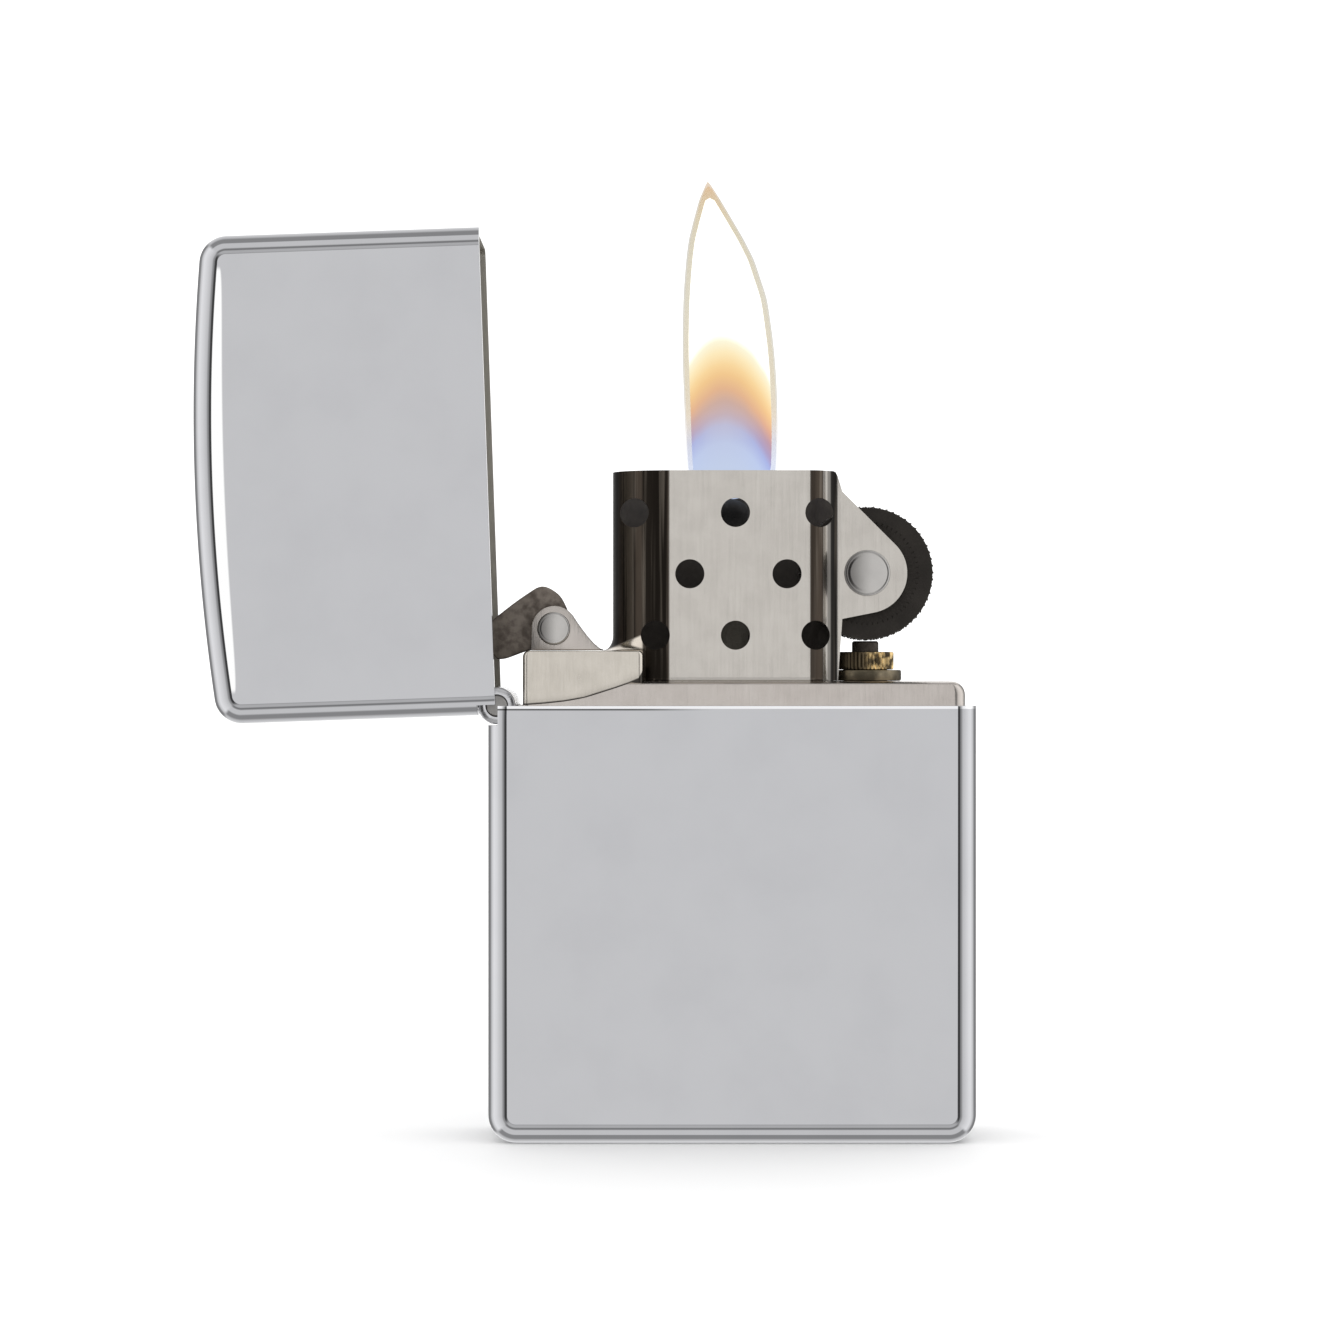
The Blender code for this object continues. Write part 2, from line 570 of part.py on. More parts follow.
def build_chimney(steel):
    bottom = DECK_Z + SEAT_GAP
    path = chimney_path()
    bm = bmesh.new()
    low = [bm.verts.new((x, y, bottom)) for x, y in path]
    edges = [bm.edges.new(pair) for pair in zip(low, low[1:])]
    made = bmesh.ops.extrude_edge_only(bm, edges=edges)["geom"]
    raised = [item for item in made if isinstance(item, bmesh.types.BMVert)]
    bmesh.ops.translate(bm, verts=raised, vec=(0, 0, CHIMNEY_TOP - bottom))
    chimney = add_piece("chimney", bm, steel)
    face_outwards(chimney)
    add_sheet_thickness(chimney, CHIMNEY_SHEET)
    step = box(CHIMNEY_LEFT - MM, SHOULDER_RIGHT + 0.08 * MM, -CHIMNEY_DEPTH, CHIMNEY_DEPTH,
               DECK_Z - MM, SHOULDER_TOP + SEAT_GAP)
    boolean(chimney, "DIFFERENCE", step)
    boolean(chimney, "DIFFERENCE", front_prism(ear_cutter(), -CHIMNEY_DEPTH, CHIMNEY_DEPTH))
    for height, rows in CHIMNEY_HOLES.items():
        z = DECK_Z + height * CHIMNEY_TOP_ABOVE_DECK
        for places, low, high in zip(rows, (-CHIMNEY_DEPTH, 0), (0, CHIMNEY_DEPTH)):
            for place in places:
                centre = (CHIMNEY_LEFT + place * CHIMNEY_LENGTH, 0, z)
                boolean(chimney, "DIFFERENCE", rod(CHIMNEY_HOLE_RADIUS, low, high, centre, "Y", 20))
    axle_hole = rod(WHEEL_RIVET_RADIUS + SEAT_GAP, -CHIMNEY_DEPTH, CHIMNEY_DEPTH, (WHEEL_X, 0, WHEEL_Z), "Y")
    boolean(chimney, "DIFFERENCE", axle_hole)


def face_outwards(piece):
    """Turn an open wall's faces away from the middle of its plan."""
    middle = (CHIMNEY_LEFT + CHIMNEY_RIGHT) / 2
    mesh = piece.data
    facing = sum(
        face.area * (face.normal.x * (face.center.x - middle) + face.normal.y * face.center.y)
        for face in mesh.polygons
    )
    if facing < 0:
        mesh.flip_normals()


# ---------------------------------------------------------------- wheel and flint


def build_wheel(wheel_steel, steel):
    axis = add_axis("wheel_axis", (WHEEL_X, 0, WHEEL_Z))
    outline = []
    for tooth in range(WHEEL_TEETH):
        for share, radius in ((0.0, WHEEL_RADIUS), (0.3, WHEEL_RADIUS), (0.6, WHEEL_RADIUS - WHEEL_TOOTH_DEPTH)):
            angle = 2 * math.pi * (tooth + share) / WHEEL_TEETH
            outline.append((radius * math.cos(angle), radius * math.sin(angle)))
    half = WHEEL_WIDTH / 2
    wheel = add_piece("spark_wheel", front_prism(outline, -half, half), wheel_steel, axis)
    bore = rod(WHEEL_RIVET_RADIUS + RUNNING_GAP, -2 * half, 2 * half, (0, 0, 0), "Y")
    boolean(wheel, "DIFFERENCE", bore)
    neck = EAR_FACE + CHIMNEY_SHEET + SEAT_GAP
    head = [(0.5 * MM, neck + 0.15 * MM), (0.8 * MM, neck + 0.5 * MM), (1.3 * MM, neck + 0.5 * MM),
            (WHEEL_RIVET_HEAD, neck + 0.2 * MM), (WHEEL_RIVET_HEAD, neck), (WHEEL_RIVET_RADIUS, neck)]
    profile = head + [(radius, -height) for radius, height in reversed(head)]
    add_piece("wheel_rivet", turned(profile, (WHEEL_X, 0, WHEEL_Z), "Y"), steel)


def build_flint_feed(brass, bronze, flint_grey, spring_steel):
    """The tube through the tank, its flange and collar on the deck, and what it holds."""
    centre = (WHEEL_X, 0, 0)
    flange_low = DECK_Z + SEAT_GAP
    flange_high = flange_low + FLANGE_HEIGHT
    collar_low = flange_high + SEAT_GAP
    collar_high = collar_low + COLLAR_HEIGHT
    hole = TUBE_RADIUS + SEAT_GAP
    add_piece("flint_tube", ring(TUBE_BORE, TUBE_RADIUS, TUBE_BOTTOM, collar_high, centre), brass)
    add_piece("tube_flange", ring(hole, FLANGE_RADIUS, flange_low, flange_high, centre), bronze)
    add_piece("flint_collar", ring(hole, COLLAR_RADIUS, collar_low, collar_high, centre), brass)

    feed = add_axis("flint_axis", (WHEEL_X, 0, FLINT_TOP))
    add_piece("flint", rod(FLINT_RADIUS, -FLINT_LENGTH, 0, (0, 0, 0), steps=20), flint_grey, feed)
    top = -FLINT_LENGTH - SEAT_GAP
    tip = [(0, top), (FLINT_RADIUS, top), (FLINT_RADIUS, top - PUSHER_HEIGHT / 2),
           (0.5 * MM, top - PUSHER_HEIGHT / 2), (0.5 * MM, top - PUSHER_HEIGHT), (0, top - PUSHER_HEIGHT)]
    add_piece("flint_pusher", turned(tip, (0, 0, 0), steps=20), brass, feed)

    screw = add_axis("screw_axis", (WHEEL_X, 0, TANK_BOTTOM))
    head, shank = SCREW_HEAD_HEIGHT, SCREW_SHANK_LENGTH
    shank_radius = TUBE_BORE - SEAT_GAP
    profile = [(0, head + shank), (shank_radius - 0.2 * MM, head + shank), (shank_radius, head + shank - 0.2 * MM),
               (shank_radius, head), (SCREW_HEAD_RADIUS, head), (SCREW_HEAD_RADIUS, 0), (0, 0)]
    body = add_piece("flint_screw", turned(profile, (0, 0, 0)), brass, screw)
    slot = box(-4 * MM, 4 * MM, -SCREW_SLOT / 2, SCREW_SLOT / 2, -MM, 0.5 * MM)
    boolean(body, "DIFFERENCE", slot)

    low = TANK_BOTTOM + head + shank + SEAT_GAP + SPRING_WIRE / 2
    high = FLINT_TOP + top - PUSHER_HEIGHT / 2 - SEAT_GAP - SPRING_WIRE / 2
    steps = 10 * SPRING_TURNS
    turns = [2 * math.pi * SPRING_TURNS * step / steps for step in range(steps + 1)]
    coil = [
        (WHEEL_X + SPRING_COIL_RADIUS * math.cos(turn), SPRING_COIL_RADIUS * math.sin(turn),
         low + (high - low) * turn / turns[-1])
        for turn in turns
    ]
    add_wire("flint_spring", coil, SPRING_WIRE / 2, spring_steel, sides=6)


# ---------------------------------------------------------------- wick and packing


def build_wick_and_packing(cotton, wadding, felt_grey):
    """The wick drops through the deck and runs left, right and left between the wads."""
    left = INSERT_LEFT + INSERT_SHEET + 0.3 * MM
    right = WHEEL_X - TUBE_RADIUS - 0.5 * MM
    y_half = INSERT_DEPTH / 2 - INSERT_SHEET - 0.3 * MM
    felt_low = TANK_BOTTOM + FELT_ABOVE_EDGE
    floor = felt_low + FELT_THICKNESS + 0.3 * MM
    ceiling = DECK_Z - INSERT_SHEET - 0.3 * MM
    turn, thick = WICK_TURN * (ceiling - floor), WICK_RADIUS + SOFT_GAP
    lowest = floor + LOWEST_PASS * (ceiling - floor)
    passes = [lowest, lowest + 2 * turn, lowest + 4 * turn]
    left_turn, right_turn = left + WICK_RADIUS + turn, right - WICK_RADIUS - turn

    drop = turn * 0.9
    route = [(WICK_X, DECK_Z + WICK_ABOVE_DECK), (WICK_X, DECK_Z), (WICK_X, passes[2] + drop)]
    route += arc(WICK_X - drop, passes[2] + drop, drop, 0, -90, 6)[1:]
    route += arc(left_turn, passes[1] + turn, turn, 90, 270, 12)
    route += arc(right_turn, passes[0] + turn, turn, 90, -90, 12)
    route.append((left + WICK_RADIUS + MM, passes[0]))
    add_wire("wick", [(x, 0, z) for x, z in route], WICK_RADIUS, cotton)

    lower_edge = DECK_Z - SHOULDER_SKIRT
    inside_left = SHOULDER_LEFT + INSERT_SHEET + 0.3 * MM
    inside_right = SHOULDER_RIGHT - INSERT_SHEET - 0.3 * MM
    inside_half = SHOULDER_DEPTH / 2 - INSERT_SHEET - 0.3 * MM
    wads = {
        "packing_shoulder": (inside_left, inside_right, inside_half, passes[2] + thick, ceiling - 0.8 * MM),
        "packing_upper": (WICK_X + thick, right, y_half, passes[1] + thick, ceiling),
        "packing_middle": (left_turn - 0.5 * MM, WICK_X + WICK_RADIUS, y_half, passes[1] + thick, passes[2] - thick),
        "packing_lower": (left, right_turn + 0.5 * MM, y_half, passes[0] + thick, passes[1] - thick),
        "packing_floor": (left, right, y_half, floor, passes[0] - thick),
        "packing_side": (WHEEL_X + TUBE_RADIUS + 0.5 * MM, INSERT_RIGHT - INSERT_SHEET - 0.3 * MM,
                         y_half, floor, ceiling),
    }
    for name, (x_low, x_high, half, z_low, z_high) in wads.items():
        add_piece(name, soft_block(x_low, x_high, half, z_low, z_high), wadding)

    side = INSERT_SHEET + 0.1 * MM
    x_low, x_high = INSERT_LEFT + side, INSERT_RIGHT - side
    half = INSERT_DEPTH / 2 - side
    felt = add_piece("felt_pad", box(x_low, x_high, -half, half, felt_low, felt_low + FELT_THICKNESS), felt_grey)
    felt.data.shade_flat()
    edges = felt.modifiers.new("edges", "BEVEL")
    edges.width = TANK_EDGE_RADIUS - INSERT_SHEET
    edges.segments = 3
    deep = 4 * FELT_THICKNESS
    boolean(felt, "DIFFERENCE", rod(SCREW_HEAD_RADIUS + 0.2 * MM, -deep, deep, (WHEEL_X, 0, felt_low)))
    boolean(felt, "DIFFERENCE", rod(FILL_HOLE_RADIUS, -deep, deep, (x_low + 5 * MM, 0, felt_low), steps=16))


def build_lighter():
    chrome = finish("chrome", (0.53, 0.53, 0.55), 1.0, 0.06)
    steel = finish("insert_steel", (0.48, 0.45, 0.41), 1.0, 0.3)
    pin_steel = finish("pin_steel", (0.3, 0.29, 0.28), 1.0, 0.35)
    cam_steel = finish("cam_steel", (0.1, 0.08, 0.07), 0.9, 0.45)
    wheel_steel = finish("wheel_steel", (0.03, 0.027, 0.024), 0.8, 0.5)
    brass = finish("brass", (0.55, 0.4, 0.17), 1.0, 0.3)
    bronze = finish("bronze", (0.12, 0.1, 0.07), 1.0, 0.35)
    spring_steel = finish("spring_steel", (0.35, 0.34, 0.33), 1.0, 0.3)
    flint_grey = finish("flint_grey", (0.12, 0.11, 0.1), 0.6, 0.6)
    cotton = finish("wick_cotton", (0.6, 0.55, 0.45), 0.0, 0.95)
    wadding = finish("wadding", (0.8, 0.79, 0.76), 0.0, 0.95)
    felt_grey = finish("felt", (0.3, 0.3, 0.3), 0.0, 0.95)

    build_case(chrome, pin_steel)
    build_lid(chrome)
    build_tank(steel)
    build_shoulder(steel)
    build_bracket(steel)
    build_cam(cam_steel)
    build_cam_spring(spring_steel)
    build_chimney(steel)
    build_wheel(wheel_steel, steel)
    build_flint_feed(brass, bronze, flint_grey, spring_steel)
    build_wick_and_packing(cotton, wadding, felt_grey)


clear_scene()
build_lighter()
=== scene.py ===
"""The looks of a windproof flip-top petrol lighter, standing open with its flame lit.

Every class below is one sub-assembly. It takes its places from the loaded frame, works out its
surfaces with numpy and dresses them with procedural finishes. Lengths are in metres, +Z is up,
-Y is the front, and the hinge is on the left.
"""

import json
import logging
import math
from dataclasses import dataclass, field, replace
from enum import Enum
from typing import Callable, Sequence

import bmesh
import bpy
import numpy as np
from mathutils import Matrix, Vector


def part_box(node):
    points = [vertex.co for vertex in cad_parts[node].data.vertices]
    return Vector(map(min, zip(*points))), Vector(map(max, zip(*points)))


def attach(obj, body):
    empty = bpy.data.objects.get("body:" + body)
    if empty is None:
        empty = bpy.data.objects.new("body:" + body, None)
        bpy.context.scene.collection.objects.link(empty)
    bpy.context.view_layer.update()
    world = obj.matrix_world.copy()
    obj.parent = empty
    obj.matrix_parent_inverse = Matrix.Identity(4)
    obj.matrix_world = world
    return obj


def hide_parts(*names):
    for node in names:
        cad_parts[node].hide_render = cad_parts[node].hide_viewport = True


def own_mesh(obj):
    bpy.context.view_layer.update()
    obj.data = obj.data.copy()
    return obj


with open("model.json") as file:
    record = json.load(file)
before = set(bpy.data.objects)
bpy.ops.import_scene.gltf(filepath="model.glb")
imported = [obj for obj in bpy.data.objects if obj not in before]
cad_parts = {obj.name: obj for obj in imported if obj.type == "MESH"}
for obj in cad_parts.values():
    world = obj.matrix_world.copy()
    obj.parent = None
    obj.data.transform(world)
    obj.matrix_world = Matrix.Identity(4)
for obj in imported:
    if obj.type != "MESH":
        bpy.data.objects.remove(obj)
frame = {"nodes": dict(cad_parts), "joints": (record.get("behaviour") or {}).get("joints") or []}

LOG = logging.getLogger("lighter")
MM = 0.001
FULL_TURN = 2 * math.pi
RIGHT_ANGLE = math.pi / 2
WHITE = (1.0, 1.0, 1.0)
BLACK = (0.0, 0.0, 0.0)

# Rivet heads: how much of the radius the dish takes up, and how far the hammered side slopes
DISH_SHARE = 0.84
RIVET_LEAN = 0.02

# The swept edge of the tank where it uncovers the shoulder, as (x, z)
SWEEP = [(x * MM, z * MM) for x, z in (
    (-16.9, 34.1), (-14.7, 34.25), (-13.07, 34.42), (-11.54, 34.69), (-10.34, 35.07),
    (-9.14, 35.45), (-8.05, 35.83), (-7.29, 36.16), (-6.96, 36.75), (-6.89, 37.6),
)]

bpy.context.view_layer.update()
JOINTS = {joint["name"]: joint for joint in frame["joints"]}
CAM_X, _, CAM_Z = JOINTS["cam_pivot"]["pos_m"]
WHEEL_X, _, WHEEL_Z = JOINTS["wheel_spin"]["pos_m"]
TUBE_X = JOINTS["screw_turn"]["pos_m"][0]


class Body(Enum):
    """The moving bodies that pieces ride on."""

    CASE = "case"
    LID = "lid"
    INSERT = "insert"
    CAM = "cam_toggle"
    WHEEL = "wheel"
    FLINT = "flint_stack"
    SCREW = "tube_screw"


class Axis(Enum):
    """The direction a turned piece is turned about."""

    Y = 1
    Z = 2


# ---------------------------------------------------------------- shader maths


class Value:
    """A shader socket that takes part in Python sums."""

    def __init__(self, graph: "Graph", socket: bpy.types.NodeSocket) -> None:
        """Wrap a socket of a graph.

        Args:
            graph: the material graph that owns the socket.
            socket: the output socket.
        """
        self.graph = graph
        self.socket = socket

    def _math(self, operation: str, *others: object, swapped: bool = False) -> "Value":
        """Add a Math node.

        Args:
            operation: the node's operation.
            others: numbers or values that join in.
            swapped: whether the other operand comes first.

        Returns:
            The result.
        """
        operands = [*others, self] if swapped else [self, *others]
        inputs = dict(enumerate(operands))
        node = self.graph.add("ShaderNodeMath", {"operation": operation}, inputs)
        return Value(self.graph, node.outputs[0])

    def __add__(self, other: object) -> "Value":
        """Sum."""
        return self._math("ADD", other)

    __radd__ = __add__

    def __mul__(self, other: object) -> "Value":
        """Product."""
        return self._math("MULTIPLY", other)

    __rmul__ = __mul__

    def __sub__(self, other: object) -> "Value":
        """Difference."""
        return self._math("SUBTRACT", other)

    def __rsub__(self, other: object) -> "Value":
        """Reflected difference."""
        return self._math("SUBTRACT", other, swapped=True)

    def __truediv__(self, other: object) -> "Value":
        """Quotient."""
        return self._math("DIVIDE", other)

    def __pow__(self, other: object) -> "Value":
        """Power."""
        return self._math("POWER", other)

    def __abs__(self) -> "Value":
        """Size without sign."""
        return self._math("ABSOLUTE")

    def arccosine(self) -> "Value":
        """Angle whose cosine is the value, in radians."""
        return self._math("ARCCOSINE")

    def sine(self) -> "Value":
        """Sine of the value in radians."""
        return self._math("SINE")

    def at_least(self, other: object) -> "Value":
        """The greater of two."""
        return self._math("MAXIMUM", other)

    def step(self, low: float, high: float) -> "Value":
        """Rise smoothly from 0 to 1.

        Args:
            low: where the rise starts.
            high: where it ends; below low for a fall.

        Returns:
            The smooth step.
        """
        rising = high > low
        node = self.graph.add("ShaderNodeMapRange", {"interpolation_type": "SMOOTHSTEP"}, {
            "Value": self, "From Min": min(low, high), "From Max": max(low, high),
            "To Min": 0.0 if rising else 1.0, "To Max": 1.0 if rising else 0.0,
        })
        return Value(self.graph, node.outputs["Result"])


class Graph:
    """The node tree of one material or world."""

    def __init__(self, owner: bpy.types.ID, output: str) -> None:
        """Start an empty tree.

        Args:
            owner: the material or world.
            output: the type of its output node.
        """
        owner.use_nodes = True
        self.tree = owner.node_tree
        self.tree.nodes.clear()
        self.output = self.tree.nodes.new(output)

    def add(self, kind: str, settings: dict[str, object],
            inputs: dict[object, object]) -> bpy.types.Node:
        """Add a node.

        Args:
            kind: the node's type.
            settings: its properties; a ramp's stops come as "stops".
            inputs: socket names or numbers with values, sockets or Value links.

        Returns:
            The node.
        """
        node = self.tree.nodes.new(kind)
        for name, setting in settings.items():
            if name == "stops":
                self._set_stops(node.color_ramp, setting)
            else:
                setattr(node, name, setting)
        for name, value in inputs.items():
            socket = node.inputs[name]
            if isinstance(value, Value):
                self.tree.links.new(value.socket, socket)
            elif isinstance(value, bpy.types.NodeSocket):
                self.tree.links.new(value, socket)
            else:
                socket.default_value = value
        return node

    @staticmethod
    def _set_stops(ramp: bpy.types.ColorRamp, stops: Sequence[tuple]) -> None:
        """Fill a colour ramp.

        Args:
            ramp: the ramp.
            stops: its (place, colour) pairs.
        """
        while len(ramp.elements) < len(stops):
            ramp.elements.new(1.0)
        for element, (place, colour) in zip(ramp.elements, stops):
            element.position = place
            element.color = (*colour, 1.0)

    def position(self) -> bpy.types.NodeSocket:
        """Object coordinates, in metres."""
        return self.add("ShaderNodeTexCoord", {}, {}).outputs["Object"]

    def axes(self) -> tuple[Value, Value, Value]:
        """The three object coordinates as values."""
        split = self.add("ShaderNodeSeparateXYZ", {}, {0: self.position()})
        x, y, z = (Value(self, socket) for socket in split.outputs)
        return x, y, z

    def stretched(self, stretch: Sequence[float]) -> bpy.types.NodeSocket:
        """Object coordinates, each multiplied by its own number."""
        inputs = {"Vector": self.position(), "Scale": tuple(stretch)}
        return self.add("ShaderNodeMapping", {}, inputs).outputs[0]

    def noise(self, scale: float, stretch: Sequence[float] = (1, 1, 1),
              detail: float = 3.0) -> Value:
        """Smooth noise.

        Args:
            scale: waves in a metre.
            stretch: how much the scale is multiplied along each axis.
            detail: how many finer layers it has.

        Returns:
            Its height, about 0 to 1.
        """
        inputs = {"Vector": self.stretched(stretch), "Scale": scale, "Detail": detail}
        return Value(self, self.add("ShaderNodeTexNoise", {}, inputs).outputs["Fac"])

    def cells(self, scale: float, stretch: Sequence[float] = (1, 1, 1)) -> Value:
        """Distance to the nearest of scattered points.

        Args:
            scale: cells in a metre.
            stretch: how much the scale is multiplied along each axis.

        Returns:
            The distance.
        """
        inputs = {"Vector": self.stretched(stretch), "Scale": scale}
        return Value(self, self.add("ShaderNodeTexVoronoi", {}, inputs).outputs["Distance"])

    def ramp(self, value: Value, stops: Sequence[tuple]) -> bpy.types.NodeSocket:
        """Colour by value.

        Args:
            value: what the colour follows.
            stops: (place, colour) pairs.

        Returns:
            The colour socket.
        """
        return self.add("ShaderNodeValToRGB", {"stops": stops}, {0: value}).outputs["Color"]

    def mix(self, share: Value, first: object, second: object) -> bpy.types.NodeSocket:
        """Blend two colours.

        Args:
            share: 0 for the first, 1 for the second.
            first: a colour or colour socket.
            second: a colour or colour socket.

        Returns:
            The colour socket.
        """
        colours = {"A": first, "B": second}
        node = self.add("ShaderNodeMix", {"data_type": "RGBA"}, {"Factor": share})
        for name, colour in colours.items():
            socket = next(s for s in node.inputs if s.name == name and s.type == "RGBA")
            if isinstance(colour, bpy.types.NodeSocket):
                self.tree.links.new(colour, socket)
            else:
                socket.default_value = (*colour, 1.0)
        return next(s for s in node.outputs if s.type == "RGBA")

    def tinted(self, first: bpy.types.NodeSocket,
               second: bpy.types.NodeSocket) -> bpy.types.NodeSocket:
        """Multiply two colours."""
        inputs = {0: first, 1: second}
        return self.add("ShaderNodeVectorMath", {"operation": "MULTIPLY"}, inputs).outputs[0]

    def bump(self, height: Value, depth: float) -> bpy.types.NodeSocket:
        """Relief that bends the normal.

        Args:
            height: 0 to 1.
            depth: how deep 1 is, in metres.

        Returns:
            The normal socket.
        """
        inputs = {"Height": height, "Strength": 1.0, "Distance": depth}
        return self.add("ShaderNodeBump", {}, inputs).outputs["Normal"]


@dataclass(frozen=True)
class Look:
    """What a finish sets on its shader."""

    colour: object
    roughness: object
    metallic: float = 1.0
    normal: object = None
    extras: dict[str, object] = field(default_factory=dict)


@dataclass(frozen=True)
class Finish:
    """A named procedural finish: a recipe that turns a graph into a look."""

    name: str
    recipe: Callable[[Graph], Look]

    def material(self) -> bpy.types.Material:
        """Make the material, or find the one made before.

        Returns:
            The material.
        """
        found = bpy.data.materials.get(self.name)
        if found:
            return found
        material = bpy.data.materials.new(self.name)
        graph = Graph(material, "ShaderNodeOutputMaterial")
        look = self.recipe(graph)
        inputs = {"Base Color": look.colour, "Roughness": look.roughness, "Metallic": look.metallic}
        if isinstance(look.colour, tuple):
            inputs["Base Color"] = (*look.colour, 1.0)
        if look.normal is not None:
            inputs["Normal"] = look.normal
        shader = graph.add("ShaderNodeBsdfPrincipled", {}, {**inputs, **look.extras})
        graph.tree.links.new(shader.outputs[0], graph.output.inputs["Surface"])
        return material


def srgb(red: int, green: int, blue: int) -> tuple[float, float, float]:
    """A colour as it looks on a screen, as linear light.

    Args:
        red: 0 to 255.
        green: 0 to 255.
        blue: 0 to 255.

    Returns:
        The linear colour.
    """
    shares = np.array([red, green, blue]) / 255
    linear = np.where(shares <= 0.04045, shares / 12.92, ((shares + 0.055) / 1.055) ** 2.4)
    return tuple(float(share) for share in linear)


# ---------------------------------------------------------------- finishes


def chrome(graph: Graph) -> Look:
    """Bright plating: a mirror with hairlines and a trace of handling."""
    clean, handled, polish = (0.54, 0.542, 0.56), (0.515, 0.517, 0.535), 0.025
    hairlines = graph.noise(900, (1, 1, 26), 2).step(0.62, 0.75)
    haze = graph.noise(160, detail=5).step(0.35, 0.8)
    ripple = graph.bump(graph.noise(45, detail=1), 0.004 * MM)
    rough = polish + 0.02 * haze + 0.02 * hairlines
    return Look(graph.mix(haze, clean, handled), rough, normal=ripple)


def lid_chrome(graph: Graph) -> Look:
    """Bright plating with a painted white highlight in a crescent beside the crown."""
    look = chrome(graph)
    x, _, z = graph.axes()
    crown_x, crown_z, crown, crown_middle = CaseAndLid().open_crown()
    half_length, tip_depth, swell = 16.7 * MM, 1.75 * MM, 0.75 * MM
    depth = crown - ((x - crown_x) ** 2 + (z - crown_z) ** 2) ** 0.5
    along = abs(z - crown_middle) / half_length
    inner = tip_depth + swell * (1.0 - along**2).at_least(0.0) ** 0.5
    # Painted highlight: the base colour is whitened in a crescent beside the crown.
    painted_highlight_crescent = depth.step(1.5 * MM, 1.6 * MM) * (inner - depth).step(-0.05 * MM, 0.1 * MM)
    return replace(look, colour=graph.mix(painted_highlight_crescent * along.step(1.0, 0.97), look.colour, WHITE))


def case_chrome(graph: Graph) -> Look:
    """Bright plating, with a painted white highlight line along the rim and a painted dark
    reflection line just under it that fades out to the right.
    """
    look = chrome(graph)
    dark, pale = (0.03, 0.03, 0.03), (0.88, 0.88, 0.9)
    x, _, z = graph.axes()
    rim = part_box("case_shell")[1][2]
    # Painted reflections: a dark line under the rim that fades out to the right, and a white
    # highlight line along the rim itself.
    grime_and_painted_dark_line = z.step(rim - 0.42 * MM, rim - 0.3 * MM) * x.step(-1 * MM, -8 * MM) * 0.85
    painted_white_line = z.step(rim - 0.26 * MM, rim - 0.2 * MM)
    return replace(look, colour=graph.mix(painted_white_line, graph.mix(grime_and_painted_dark_line, look.colour, dark), pale))


def inner_satin(graph: Graph) -> Look:
    """Unpolished inside of the case and lid."""
    draw = graph.noise(800, (6, 6, 1), 4)
    return Look(graph.mix(draw, (0.6, 0.58, 0.52), (0.42, 0.4, 0.36)), 0.38 + 0.15 * draw)


def brushed(graph: Graph, light: tuple, dark: tuple, stretch: tuple, roughness: float) -> Look:
    """Sheet steel with fine draw lines, soft mottling and a few stray scratches.

    Args:
        graph: the graph to fill.
        light: colour of the clean metal.
        dark: colour of the duller patches.
        stretch: how the lines are drawn out along each axis.
        roughness: of the clean metal.

    Returns:
        The look.
    """
    lines = graph.noise(700, stretch, 4)
    mottle = graph.noise(620, detail=6).step(0.3, 0.75)
    scratch = graph.cells(420, (3.1, 1, 0.23)).step(0.03, 0.0)
    colour = graph.mix(mottle * 0.5 + lines * 0.5, light, dark)
    rough = roughness + 0.03 * mottle + 0.08 * lines + 0.1 * scratch
    return Look(colour, rough, normal=graph.bump(lines - 0.6 * scratch, 0.006 * MM))


def insert_steel(graph: Graph) -> Look:
    """Warm satin sheet of the tank."""
    return brushed(graph, (0.58, 0.54, 0.505), (0.54, 0.495, 0.46), (9, 9, 0.6), 0.17)


def shoulder_steel(graph: Graph) -> Look:
    """Paler sheet of the shoulder, with a painted shadow line where it goes under the tank's swept
    edge.
    """
    look = brushed(graph, (0.69, 0.645, 0.58), (0.645, 0.6, 0.535), (9, 9, 0.6), 0.19)
    dark = (0.05, 0.045, 0.04)
    x, _, z = graph.axes()
    first, last, floor, reach = SWEEP[0][0], SWEEP[-1][0], 34 * MM, 5 * MM
    edge = graph.ramp((x - first) / (last - first), [
        ((place - first) / (last - first), ((height - floor) / reach,) * 3)
        for place, height in SWEEP
    ])
    above = (z - floor) / reach - Value(graph, edge)
    # Painted shade: a dark line just above the swept edge, with a softer painted shadow above it.
    painted_shadow_line = above.step(0.035, 0.012) * 0.8 + above.step(0.13, 0.0) * 0.2
    return replace(look, colour=graph.mix(painted_shadow_line, look.colour, dark))


